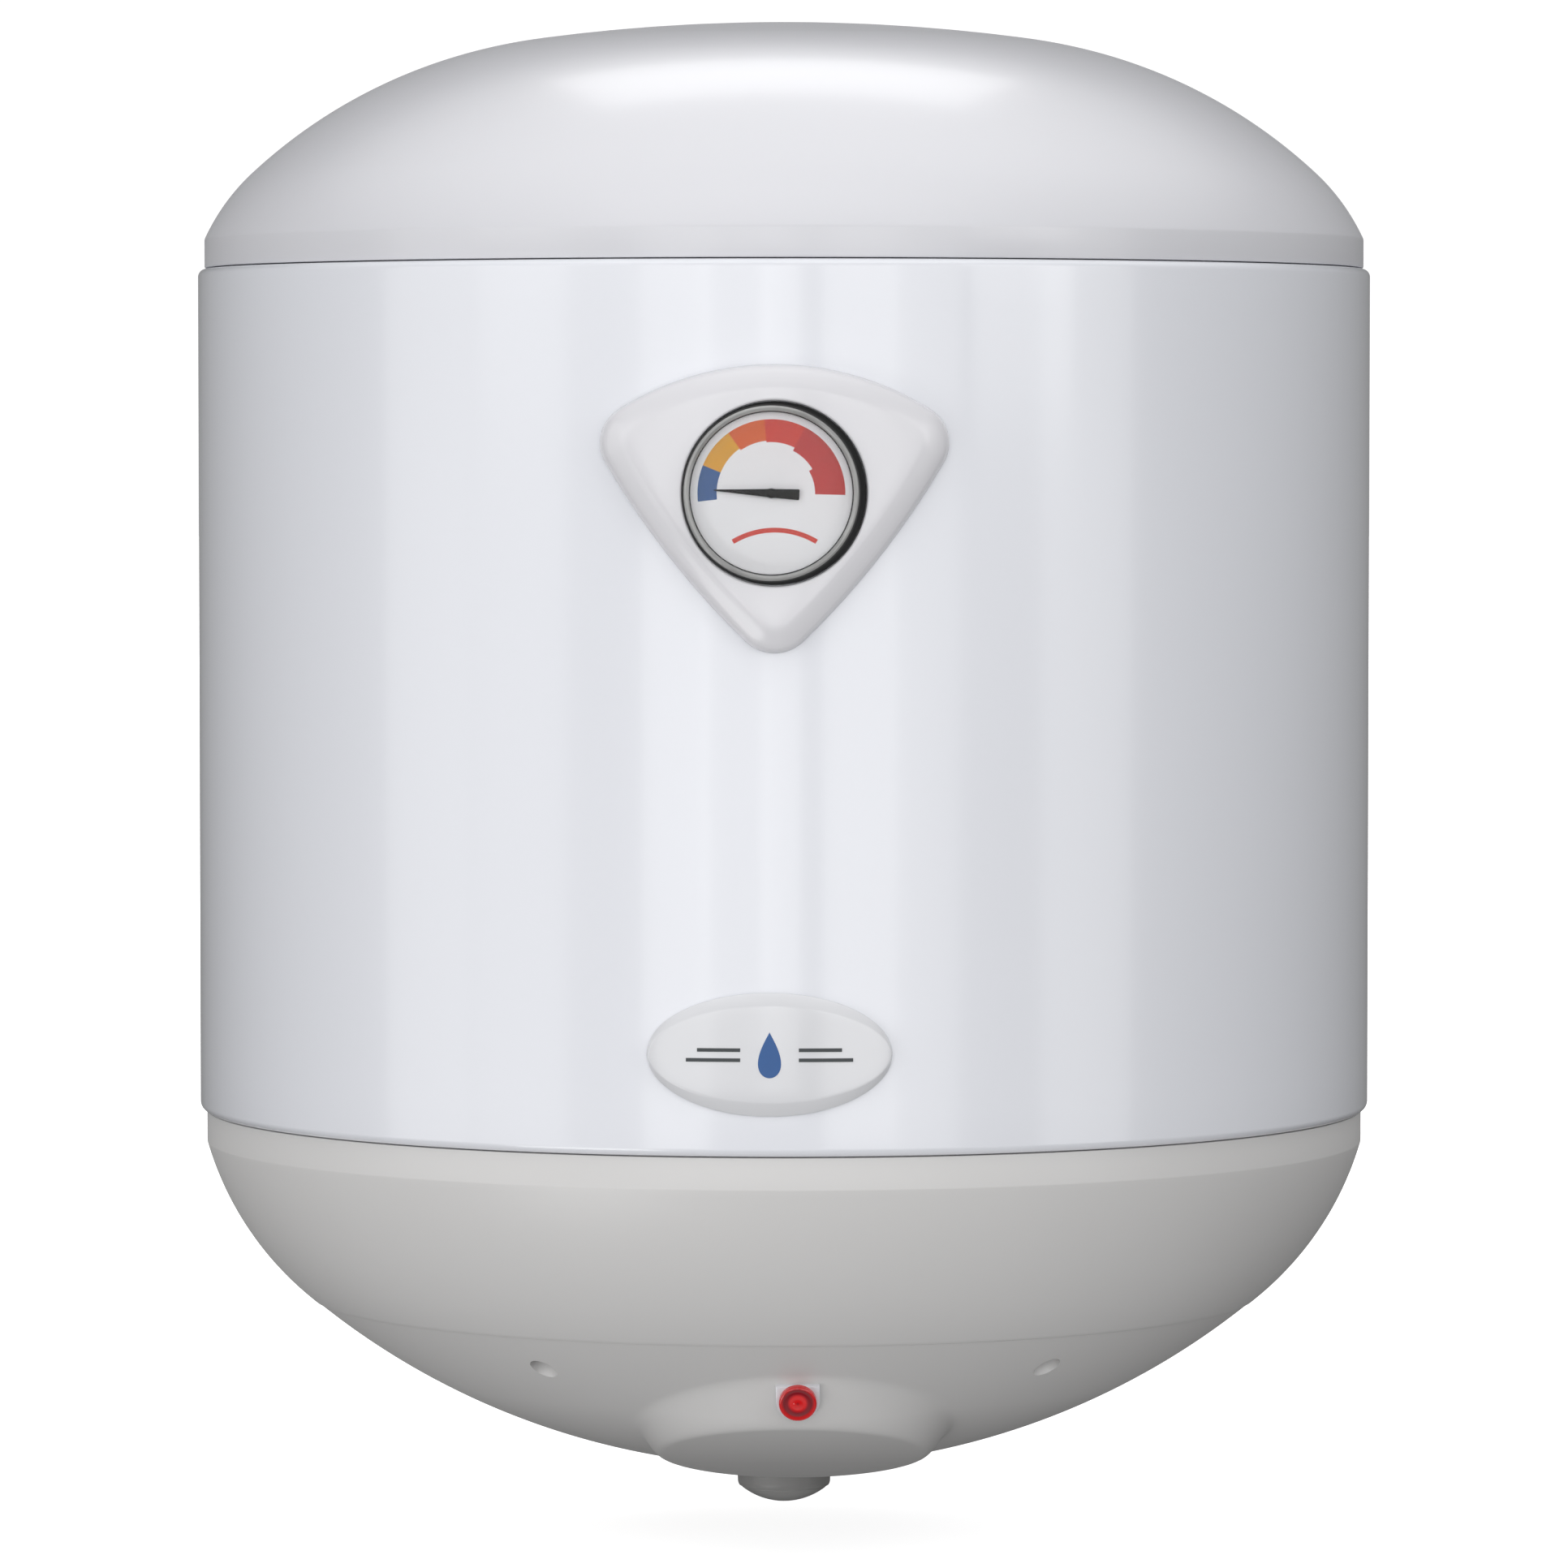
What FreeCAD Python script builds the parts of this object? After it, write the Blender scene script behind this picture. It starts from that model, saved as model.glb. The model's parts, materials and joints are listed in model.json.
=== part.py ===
import FreeCAD, Part
import math
import os
import re

import Sketcher
from FreeCAD import Placement, Rotation, Vector

# Wall-hung electric storage water heater, about 50 litres, in millimetres.
# Origin: the centre of the wall bracket's two slots, on the wall plane.
# +Y runs into the wall, the thermometer faces -Y, and +Z is up.
# The tank's own axis is vertical, at X = 0 and Y = -axis_y.

DRIVING_SIZES = [
    # name, value, what it is
    ("axis_y", 242.0, "wall plane to tank axis"),
    # steel jacket
    ("shell_r", 225.0, "outside radius of the painted jacket"),
    ("shell_sheet", 0.8, "jacket sheet"),
    ("shell_top", 75.0, "top edge of the jacket above the bracket centre"),
    ("shell_low", -247.2, "bottom edge of the jacket"),
    ("roll_r", 3.0, "rolled-in edge at both ends of the jacket"),
    ("lip_r", 213.0, "inner radius of the turned-in lip"),
    # plastic caps
    ("cap_r", 222.5, "radius of the straight band on both caps"),
    ("cap_wall", 2.6, "moulded wall"),
    ("seam", 0.4, "gap between jacket and caps"),
    ("spigot_r", 212.5, "skirt of each cap, inside the jacket lip"),
    ("spigot_long", 13.0, "how far each skirt reaches past the jacket edge"),
    ("band_top", 86.4, "upper corner of the top cap's band"),
    ("cap_top", 169.3, "highest point of the top cap"),
    ("crown_r", 703.0, "flat crown of the top cap"),
    ("crown_tilt", 7.98, "slope where the crown meets the shoulder"),
    ("shoulder_r", 196.5, "shoulder of the top cap"),
    ("shoulder_tilt", 43.01, "slope where the shoulder meets the rim"),
    ("rim_r", 79.7, "rim arc of the top cap"),
    ("band_low", -259.4, "lower corner of the bottom cap's band"),
    ("bowl_r", 119.0, "arc of the bottom cap below its band"),
    ("crease_r", 181.8, "radius of the joint line around the service cover"),
    ("crease_z", -320.4, "height of that joint line"),
    ("seat_r", 174.0, "recess wall inside the bottom cap"),
    ("seat_up", 4.7, "depth of the groove that takes the cover's edge"),
    ("ceiling_z", -298.0, "underside of the service space's ceiling"),
    ("ceiling_hole_r", 80.0, "opening in that ceiling for the flange"),
    # service cover
    ("cover_gap", 0.5, "radial gap round the cover"),
    ("cover_low", -385.4, "lowest point of the dish"),
    ("front_skew", 1.8, "cover turned this far about the tank axis, degrees"),
    ("boss_out", 106.7, "boss centre in front of the tank axis"),
    ("boss_base_x", 57.2, "half width of the boss at its base"),
    ("boss_base_y", 61.8, "half depth of the boss at its base, along its slope"),
    ("boss_base_z", -356.6, "height of the base ellipse's centre"),
    ("boss_base_slope", 22.3, "slope of the base ellipse, degrees"),
    ("boss_top_x", 43.5, "half width of the boss where it would end"),
    ("boss_top_y", 44.5, "half depth of the boss where it would end"),
    ("boss_top_z", -373.2, "height of that end's centre"),
    ("boss_top_slope", 18.0, "slope of the boss face, degrees"),
    ("boss_face_r", 440.0, "slight crown of the boss face"),
    ("boss_face_z", -370.3, "height of the face at its centre"),
    ("boss_edge_r", 4.5, "rounding of the boss edge"),
    ("screw_pitch_r", 163.8, "cover screws from the tank axis"),
    ("screw_angle", 34.7, "cover screws either side of the front, degrees"),
    ("well_r", 5.0, "recess for a cover screw"),
    ("well_wall", 2.4, "wall of that recess"),
    ("well_floor", -322.0, "underside of the recess floor"),
    ("pipe_collar_r", 15.5, "moulded collar round each pipe"),
    ("pipe_collar_z", -372.0, "lower end of the pipe collars"),
    ("gland_x", -85.0, "cable gland, to the left of the tank axis"),
    ("gland_y", 80.0, "cable gland, behind the tank axis"),
    ("gland_collar_z", -368.0, "lower end of the gland's collar"),
    ("gland_collar_r", 13.5, "moulded collar round the gland"),
    ("gland_hole_r", 10.3, "hole for the gland"),
    # indicator lamp
    ("lamp_out", 161.2, "lens centre in front of the tank axis"),
    ("lamp_z", -342.8, "height of the lens centre"),
    ("lamp_tip", 111.0, "lamp axis leans from +Z over the front by this, degrees"),
    ("lamp_seat_r", 8.1, "U-shaped seat"),
    ("lamp_seat_up", 6.2, "flat upper end of the seat, above the lamp's axis"),
    ("lamp_seat_long", 16.0, "depth of the seat along the lamp's axis"),
    ("lens_r", 6.95, "red lens"),
    ("lamp_body_r", 5.0, "lamp holder"),
    # control knob
    ("knob_r", 18.15, "knob"),
    ("knob_top", -386.4, "top of the knob's rim"),
    ("knob_rim_low", -395.2, "lower edge of the rim"),
    ("knob_low", -401.0, "lowest point of the knob"),
    ("spindle_r", 3.0, "control spindle"),
    # thermometer
    ("panel_x", -3.4, "thermometer panel beside the centre line"),
    ("panel_out", 233.0, "front of the panel from the tank axis"),
    ("panel_half", 62.7, "half width of the panel"),
    ("panel_apex_z", 37.2, "top of the panel"),
    ("panel_arch_r", 105.0, "arched top edge"),
    ("panel_corner_r", 14.0, "upper corners"),
    ("panel_side_r", 300.0, "gently bowed sides"),
    ("panel_tip_r", 15.0, "rounded tip"),
    ("panel_tip_z", -66.2, "bottom of the tip"),
    ("panel_hole_r", 33.1, "round opening for the gauge"),
    ("panel_edge_r", 3.5, "rounded front edge"),
    ("gauge_x", -4.5, "gauge axis beside the centre line"),
    ("gauge_z", -8.9, "gauge axis"),
    ("gauge_case_r", 29.3, "case behind the dial"),
    ("gauge_flange_r", 31.9, "flange of the case"),
    ("dial_r", 29.0, "dial"),
    ("rim_outer_r", 31.3, "rim of the clear lens"),
    ("needle_angle", 176.9, "needle direction at rest, from +X, degrees"),
    ("needle_long", 20.6, "needle, hub to tip"),
    ("needle_tail", 10.0, "needle, hub to tail"),
    # badge
    ("badge_x", -5.2, "badge beside the centre line"),
    ("badge_z", -210.1, "badge centre"),
    ("badge_half_x", 44.1, "half width of the badge"),
    ("badge_half_z", 22.2, "half height of the badge"),
    ("badge_out", 228.2, "front of the badge from the tank axis"),
    ("badge_edge_r", 1.6, "rounded front edge of the badge"),
    # tank
    ("tank_r", 200.0, "outside radius of the tank"),
    ("tank_sheet", 1.8, "tank sheet"),
    ("tank_top", 70.0, "upper edge of the tank wall"),
    ("tank_low", -228.0, "lower edge of the tank wall"),
    ("head_overlap", 12.0, "how far each head's skirt runs inside the wall"),
    ("head_gap", 0.1, "gap between skirt and wall"),
    ("knuckle_r", 40.0, "knuckle of both heads"),
    ("top_head_rise", 66.0, "rise of the top head"),
    ("low_head_rise", 60.0, "drop of the bottom head"),
    # pipes
    ("pipe_x", 50.0, "pipes either side of the tank axis"),
    ("pipe_y", 95.0, "pipes behind the tank axis"),
    ("pipe_r", 10.48, "half-inch pipe thread, outside"),
    ("pipe_bore_r", 8.0, "pipe bore"),
    ("pipe_low", -390.0, "lower end of the pipes"),
    ("pipe_thread", 14.8, "threaded end of the pipes"),
    ("pipe_relief", 0.4, "plain pipe above the thread, smaller by this"),
    ("pipe_top", -262.0, "upper end of the pipes, inside the tank"),
    # flange
    ("flange_r", 62.0, "flange"),
    ("flange_throat_r", 46.0, "opening through the flange collar"),
    ("collar_low", -300.0, "sealing face of the collar"),
    ("collar_top", -279.0, "upper end of the collar"),
    ("gasket_thick", 2.2, "flange gasket"),
    ("plate_thick", 4.0, "flange plate"),
    ("stud_pitch_r", 54.0, "studs from the tank axis"),
    ("stud_r", 4.0, "studs"),
    ("stud_count", 6.0, "number of studs"),
    ("element_x", 22.0, "element legs either side of the tank axis"),
    ("element_y", -24.0, "element legs in front of the tank axis"),
    ("element_r", 4.0, "element sheath"),
    ("pocket_y", 14.0, "thermostat pocket behind the tank axis"),
    ("pocket_r", 5.5, "thermostat pocket"),
    ("anode_y", -34.0, "anode in front of the tank axis"),
    ("anode_r", 9.5, "anode"),
    ("thermostat_low", -350.0, "underside of the thermostat"),
    ("button_x", 17.0, "reset button beside the tank axis"),
    ("button_y", 12.0, "reset button behind the tank axis"),
    ("post_r", 4.6, "posts that take the cover screws"),
    ("post_hole_r", 2.2, "hole in those posts"),
    ("screw_head_r", 3.8, "cover screw's head"),
    ("screw_head_tall", 2.6, "height of that head"),
    ("screw_shank_r", 2.0, "cover screw's shank"),
    ("screw_shank_long", 15.0, "length of that shank"),
    ("screw_slot", 1.0, "width of the cross in the screw's head"),
    ("screw_hole_r", 2.4, "hole through the cover for a screw"),
    # wall bracket
    ("bracket_half", 102.0, "half width of the bracket, outside its legs"),
    ("bracket_tall", 60.0, "height of the bracket"),
    ("bracket_sheet", 3.0, "bracket sheet"),
    ("bracket_bend_r", 5.0, "outside radius of the bracket's bends"),
    ("slot_pitch", 150.0, "distance between the two slots"),
    ("slot_long", 30.0, "slot, end to end"),
    ("slot_r", 5.0, "half the slot's width"),
    ("leg_tall", 50.0, "height of the legs"),
    ("spacer_z", -205.0, "lower wall spacer"),
    ("spacer_peg_r", 4.6, "peg of the spacer, through the jacket"),
    ("spacer_peg_long", 5.0, "length of that peg inside the jacket's outside"),
    ("spacer_hole_r", 5.4, "hole in the jacket for the peg"),
    ("spacer_neck_r", 11.0, "spacer where it meets the jacket"),
    ("spacer_foot_r", 14.0, "spacer at the wall"),
    # clearances and tool lengths
    ("plate_gap", 0.3, "gap between the jacket and what is fixed on it"),
    ("gauge_clear", 0.8, "clearance round the gauge case in the jacket"),
    ("through", 60.0, "length of a cut that runs right through a wall"),
]
SIZES = {name: size for name, size, note in DRIVING_SIZES}
AXIS = ("0", "-axis_y", "0")
CLOCKWISE = -1
ANTICLOCKWISE = 1
FRONT = 90.0
BACK = -90.0

doc = FreeCAD.newDocument("WaterHeater")
sheet = doc.addObject("Spreadsheet::Sheet", "Sizes")
for row, (name, size, note) in enumerate(DRIVING_SIZES, start=1):
    sheet.set(f"A{row}", name)
    sheet.set(f"B{row}", str(size))
    sheet.set(f"C{row}", note)
    sheet.setAlias(f"B{row}", name)
doc.recompute()

nodes = {}


# ---------------------------------------------------------------- helpers

def sized(expression):
    """The expression with each name of a size pointing at the sheet."""
    def at_sheet(word):
        return "Sizes." + word.group() if word.group() in SIZES else word.group()
    return re.sub(r"[a-z][a-z_0-9]*", at_sheet, str(expression))


def value(expression):
    """What an expression comes to with the sheet's present sizes."""
    return float(sheet.evalExpression(str(expression)))


def bind(piece, sizes):
    for name, expression in sizes.items():
        piece.setExpression(name, sized(expression))


def place(piece, at, tip=0.0, spin=0.0):
    """Puts a piece at a point; its own +Z leans over about X by tip, so 90 points it to the front."""
    turn = Rotation(Vector(1, 0, 0), value(tip)) * Rotation(Vector(0, 0, 1), value(spin))
    piece.Placement = Placement(Vector(*[value(size) for size in at]), turn)
    bind(piece, {"Placement.Base." + letter: size for letter, size in zip("xyz", at)})
    return piece


def node(piece, label, at=AXIS, tip=0.0, spin=0.0):
    """Makes a finished piece a named part of the heater."""
    piece.Label = label
    place(piece, at, tip, spin)
    nodes[label] = piece
    return piece


def new_body(label, at=AXIS, tip=0.0, spin=0.0):
    return node(doc.addObject("PartDesign::Body", "Body_" + label), label, at, tip, spin)


def sketch_on(body, role):
    """A sketch on one of the body's own origin planes."""
    sketch = body.newObject("Sketcher::SketchObject", body.Name + "_sketch")
    plane = next(part for part in body.Origin.OriginFeatures if part.Role == role)
    sketch.AttachmentSupport = [(plane, "")]
    sketch.MapMode = "FlatFace"
    return sketch


def arc_centre(start, end, radius, turn):
    """Centre of the shorter arc from start to end that turns the given way."""
    chord = end - start
    middle = (start + end) * 0.5
    left = Vector(-chord.y, chord.x, 0).normalize()
    offset = math.sqrt(max(radius ** 2 - (chord.Length / 2) ** 2, 0.0))
    return middle + left * (offset * turn)


def draw(sketch, outline):
    """Draws one closed outline. Each corner is (x, y), or (x, y, radius, turn) when an arc leads to it."""
    corners = [Vector(value(corner[0]), value(corner[1]), 0) for corner in outline]
    ends = []
    for number, corner in enumerate(outline):
        start, end = corners[number - 1], corners[number]
        if len(corner) == 2:
            edge = sketch.addGeometry(Part.LineSegment(start, end), False)
            ends.append((edge, 1, 2))
            continue
        radius, turn = value(corner[2]), corner[3]
        centre = arc_centre(start, end, radius, turn)
        first, last = (start, end) if turn == ANTICLOCKWISE else (end, start)
        angles = [math.atan2(point.y - centre.y, point.x - centre.x) for point in (first, last)]
        circle = Part.Circle(centre, Vector(0, 0, 1), radius)
        edge = sketch.addGeometry(Part.ArcOfCircle(circle, *angles), False)
        ends.append((edge, 1, 2) if turn == ANTICLOCKWISE else (edge, 2, 1))
        mark = sketch.addConstraint(Sketcher.Constraint("Radius", edge, radius))
        sketch.setExpression(f"Constraints[{mark}]", sized(corner[2]))
    for number, corner in enumerate(outline):
        edge, start, end = ends[number]
        following = ends[(number + 1) % len(outline)]
        sketch.addConstraint(Sketcher.Constraint("Coincident", edge, end, following[0], following[1]))
        pin_down(sketch, edge, end, corner[0], corner[1])


def pin_down(sketch, edge, point, x, y):
    """Ties a point of a sketch to the sheet."""
    for direction, size, axis in (("DistanceX", x, -2), ("DistanceY", y, -1)):
        if str(size) == "0":
            sketch.addConstraint(Sketcher.Constraint("PointOnObject", edge, point, axis))
        else:
            mark = sketch.addConstraint(Sketcher.Constraint(direction, edge, point, value(size)))
            sketch.setExpression(f"Constraints[{mark}]", sized(size))


def revolve(body, outline, turned_away=False):
    """Turns an outline of (radius, height) corners about the body's Z axis, adding or cutting."""
    sketch = sketch_on(body, "XZ_Plane")
    draw(sketch, outline)
    kind = "Groove" if turned_away else "Revolution"
    feature = body.newObject("PartDesign::" + kind, body.Name + "_" + kind)
    feature.Profile = sketch
    feature.ReferenceAxis = (sketch, ["V_Axis"])
    feature.Angle = 360.0
    return feature


def turned(label, outline, at=AXIS, tip=0.0, spin=0.0):
    body = new_body(label, at, tip, spin)
    revolve(body, outline)
    return body


def shape_in(body, kind, sizes, at, tip=0.0, spin=0.0):
    """Adds or cuts one primitive, such as AdditiveBox or SubtractiveCylinder, in a body."""
    feature = body.newObject("PartDesign::" + kind, body.Name + "_" + kind)
    bind(feature, sizes)
    place(feature, at, tip, spin)
    return feature


def drill(body, x, y, radius, low, high):
    """A vertical round hole between two heights."""
    shape_in(body, "SubtractiveCylinder", {"Radius": radius, "Height": f"({high}) - ({low})"}, (x, y, low))


def solid(kind, sizes, at, tip=0.0, spin=0.0):
    """One Part primitive."""
    piece = doc.addObject("Part::" + kind, kind)
    bind(piece, sizes)
    return place(piece, at, tip, spin)


def boolean(kind, base, tool):
    """Cut, Fuse or Common of two pieces."""
    piece = doc.addObject("Part::" + kind, kind)
    piece.Base = base
    piece.Tool = tool
    return piece


def several(kind, pieces):
    """MultiFuse or MultiCommon of many pieces, or a Compound that leaves them separate."""
    piece = doc.addObject("Part::" + kind, kind)
    if kind == "Compound":
        piece.Links = pieces
    else:
        piece.Shapes = pieces
    return piece


def ring(inner, outer, low, high):
    """Outline of a plain ring or tube."""
    return [(inner, low), (outer, low), (outer, high), (inner, high)]


def disc(outer, low, high):
    return [("0", low), (outer, low), (outer, high), ("0", high)]


def dome_radius(half, rise):
    """Radius of a shallow dome from its half width and its rise."""
    return f"(({half})^2 + ({rise})^2) / (2 * ({rise}))"


def around(count, radius, start=0.0):
    """Points evenly round the tank axis, as expressions."""
    for number in range(count):
        angle = start + 360.0 * number / count
        yield f"{radius} * cos({angle})", f"{radius} * sin({angle})"


def bent_tube(points, bend, radius):
    """A round rod along straight runs joined by tangent arcs."""
    corners = [Vector(*point) for point in points]
    edges = []
    here = corners[0]
    for before, corner, after in zip(corners, corners[1:], corners[2:]):
        back = (before - corner).normalize()
        ahead = (after - corner).normalize()
        half = back.getAngle(ahead) / 2
        trim = bend / math.tan(half)
        arc_start = corner + back * trim
        arc_end = corner + ahead * trim
        centre_way = (back + ahead).normalize()
        arc_middle = corner + centre_way * (bend / math.sin(half) - bend)
        edges.append(Part.LineSegment(here, arc_start).toShape())
        edges.append(Part.Arc(arc_start, arc_middle, arc_end).toShape())
        here = arc_end
    edges.append(Part.LineSegment(here, corners[-1]).toShape())
    return swept(edges, radius)


def swept(edges, radius):
    path = Part.Wire(edges)
    section = Part.Wire(Part.makeCircle(radius, path.Vertexes[0].Point, edges[0].tangentAt(0)))
    return path.makePipeShell([section], True, True)


def shaped(label, shape):
    """A piece whose shape is set directly, standing on the tank axis."""
    feature = doc.addObject("Part::Feature", label)
    feature.Shape = shape
    return node(feature, label)


# ---------------------------------------------------------------- casing

def make_outer_shell():
    sheet_in = "shell_r - shell_sheet"
    roll_in = "roll_r - shell_sheet"
    body = turned("outer_shell", [
        ("lip_r", "shell_top"),
        ("shell_r - roll_r", "shell_top"),
        ("shell_r", "shell_top - roll_r", "roll_r", CLOCKWISE),
        ("shell_r", "shell_low + roll_r"),
        ("shell_r - roll_r", "shell_low", "roll_r", CLOCKWISE),
        ("lip_r", "shell_low"),
        ("lip_r", "shell_low + shell_sheet"),
        ("shell_r - roll_r", "shell_low + shell_sheet"),
        (sheet_in, "shell_low + roll_r", roll_in, ANTICLOCKWISE),
        (sheet_in, "shell_top - roll_r"),
        ("shell_r - roll_r", "shell_top - shell_sheet", roll_in, ANTICLOCKWISE),
        ("lip_r", "shell_top - shell_sheet"),
    ])
    slit = {"Length": "bracket_sheet + 2", "Width": "through", "Height": "leg_tall + 2"}
    for side in ("-(bracket_half + 1)", "bracket_half - bracket_sheet - 1"):
        shape_in(body, "SubtractiveBox", slit, (side, "180", "-(leg_tall / 2 + 1)"))
    gauge_hole = {"Radius": "gauge_case_r + gauge_clear", "Height": "through"}
    shape_in(body, "SubtractiveCylinder", gauge_hole, ("gauge_x", "-tank_r", "gauge_z"), tip=FRONT)
    spacer_hole = {"Radius": "spacer_hole_r", "Height": "through"}
    shape_in(body, "SubtractiveCylinder", spacer_hole, ("0", "tank_r", "spacer_z"), tip=BACK)


CROWN_X = "crown_r * sin(crown_tilt)"
CROWN_Z = "cap_top - crown_r * (1 - cos(crown_tilt))"
SHOULDER_X = f"{CROWN_X} + shoulder_r * (sin(shoulder_tilt) - sin(crown_tilt))"
SHOULDER_Z = f"{CROWN_Z} - shoulder_r * (cos(crown_tilt) - cos(shoulder_tilt))"


def crown_corner(inset):
    return (f"{CROWN_X} - {inset} * sin(crown_tilt)", f"{CROWN_Z} - {inset} * cos(crown_tilt)")


def shoulder_corner(inset):
    return (f"{SHOULDER_X} - {inset} * sin(shoulder_tilt)", f"{SHOULDER_Z} - {inset} * cos(shoulder_tilt)")


def dome_down(inset):
    """The top cap's dome from its highest point to the band, set in by a distance."""
    return [
        ("0", f"cap_top - {inset}"),
        (*crown_corner(inset), f"crown_r - {inset}", CLOCKWISE),
        (*shoulder_corner(inset), f"shoulder_r - {inset}", CLOCKWISE),
        (f"cap_r - {inset}", "band_top", f"rim_r - {inset}", CLOCKWISE),
    ]


def dome_up(inset):
    """The same dome from the band to the highest point."""
    return [
        (f"cap_r - {inset}", "band_top"),
        (*shoulder_corner(inset), f"rim_r - {inset}", ANTICLOCKWISE),
        (*crown_corner(inset), f"shoulder_r - {inset}", ANTICLOCKWISE),
        ("0", f"cap_top - {inset}", f"crown_r - {inset}", ANTICLOCKWISE),
    ]


def make_top_cap():
    turned("top_cap", dome_down("0") + [
        ("cap_r", "shell_top + seam"),
        ("spigot_r", "shell_top + seam"),
        ("spigot_r", "shell_top - spigot_long"),
        ("spigot_r - cap_wall", "shell_top - spigot_long"),
        ("spigot_r - cap_wall", "shell_top + seam + cap_wall"),
        ("cap_r - cap_wall", "shell_top + seam + cap_wall"),
    ] + dome_up("cap_wall"))


def screw_places():
    """The four cover screws, turned with the cover."""
    for front in (-90.0, 90.0):
        for side in (-1, 1):
            angle = f"({front} + {side} * screw_angle + front_skew)"
            yield f"screw_pitch_r * cos{angle}", f"screw_pitch_r * sin{angle}"


def make_bottom_cap():
    groove_top = "crease_z + seat_up"
    inner_bowl = "bowl_r - cap_wall"
    body = turned("bottom_cap", [
        ("spigot_r", "shell_low + spigot_long"),
        ("spigot_r", "shell_low - seam"),
        ("cap_r", "shell_low - seam"),
        ("cap_r", "band_low"),
        ("crease_r", "crease_z", "bowl_r", CLOCKWISE),
        ("crease_r", groove_top),
        ("seat_r", groove_top),
        ("seat_r", "ceiling_z"),
        ("ceiling_hole_r", "ceiling_z"),
        ("ceiling_hole_r", "ceiling_z + cap_wall"),
        ("seat_r + cap_wall", "ceiling_z + cap_wall"),
        ("seat_r + cap_wall", f"{groove_top} + cap_wall"),
        ("crease_r + cap_wall + 1.8", f"{groove_top} + cap_wall"),
        ("cap_r - cap_wall", "band_low", inner_bowl, ANTICLOCKWISE),
        ("cap_r - cap_wall", "shell_low - seam - cap_wall"),
        ("spigot_r - cap_wall", "shell_low - seam - cap_wall"),
        ("spigot_r - cap_wall", "shell_low + spigot_long"),
    ])
    for x, y in screw_places():
        post = {"Radius": "post_r", "Height": "ceiling_z - well_floor - cap_wall - 0.1"}
        shape_in(body, "AdditiveCylinder", post, (x, y, "well_floor + cap_wall + 0.3"))
        drill(body, x, y, "post_hole_r", "well_floor", "ceiling_z - 2")
    for side in ("pipe_x", "-pipe_x"):
        drill(body, side, "pipe_y", "pipe_r + 1.5", "ceiling_z - 5", "ceiling_z + 10")


# The service cover is drawn as a dish with solid lumps on it, which a smaller copy hollows out.

def dish(name, inset, top):
    body = doc.addObject("PartDesign::Body", name)
    edge = f"crease_r - cover_gap - {inset}"
    low = f"cover_low + {inset}"
    revolve(body, [
        ("0", top),
        (edge, top),
        (edge, "crease_z"),
        ("0", low, dome_radius(edge, f"crease_z - ({low})"), CLOCKWISE),
    ])
    return body


def boss_lump(inset):
    """The boss, from inside the dish to its slightly crowned face, all walls set in by a distance."""
    rims = []
    for part in ("base", "top"):
        rim = solid("Ellipse", {
            "MajorRadius": f"boss_{part}_y - {inset}",
            "MinorRadius": f"boss_{part}_x - {inset}",
        }, ("boss_out * sin(front_skew)", "-boss_out * cos(front_skew)", f"boss_{part}_z"))
        lean = Rotation(Vector(1, 0, 0), -SIZES[f"boss_{part}_slope"])
        rim.Placement.Rotation = lean * Rotation(Vector(0, 0, 1), 90)
        rims.append(rim)
    wall = doc.addObject("Part::Loft", "Loft")
    wall.Sections = rims
    wall.Solid = True
    wall.Ruled = True
    reach = "(boss_face_r - {0})".format(inset)
    crown = solid("Sphere", {"Radius": reach}, (
        "boss_out * sin(front_skew)",
        "-boss_out * cos(front_skew) + boss_face_r * sin(boss_top_slope)",
        "boss_face_z + boss_face_r * cos(boss_top_slope)",
    ))
    return boolean("Common", wall, crown)


def softened(piece, radius, is_soft):
    """Rounds the edges of a piece that a test picks out."""
    doc.recompute()
    edges = [number for number, edge in enumerate(piece.Shape.Edges, start=1) if is_soft(edge)]
    fillet = doc.addObject("Part::Fillet", "Fillet")
    fillet.Base = piece
    fillet.Edges = [(number, value(radius), value(radius)) for number in edges]
    return fillet


def along_lamp(distance):
    """A point on the lamp's axis, in front of the lens seat by a distance."""
    return (
        "lamp_out * sin(front_skew)",
        f"-lamp_out * cos(front_skew) - ({distance}) * sin(lamp_tip)",
        f"lamp_z + ({distance}) * cos(lamp_tip)",
    )


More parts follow.
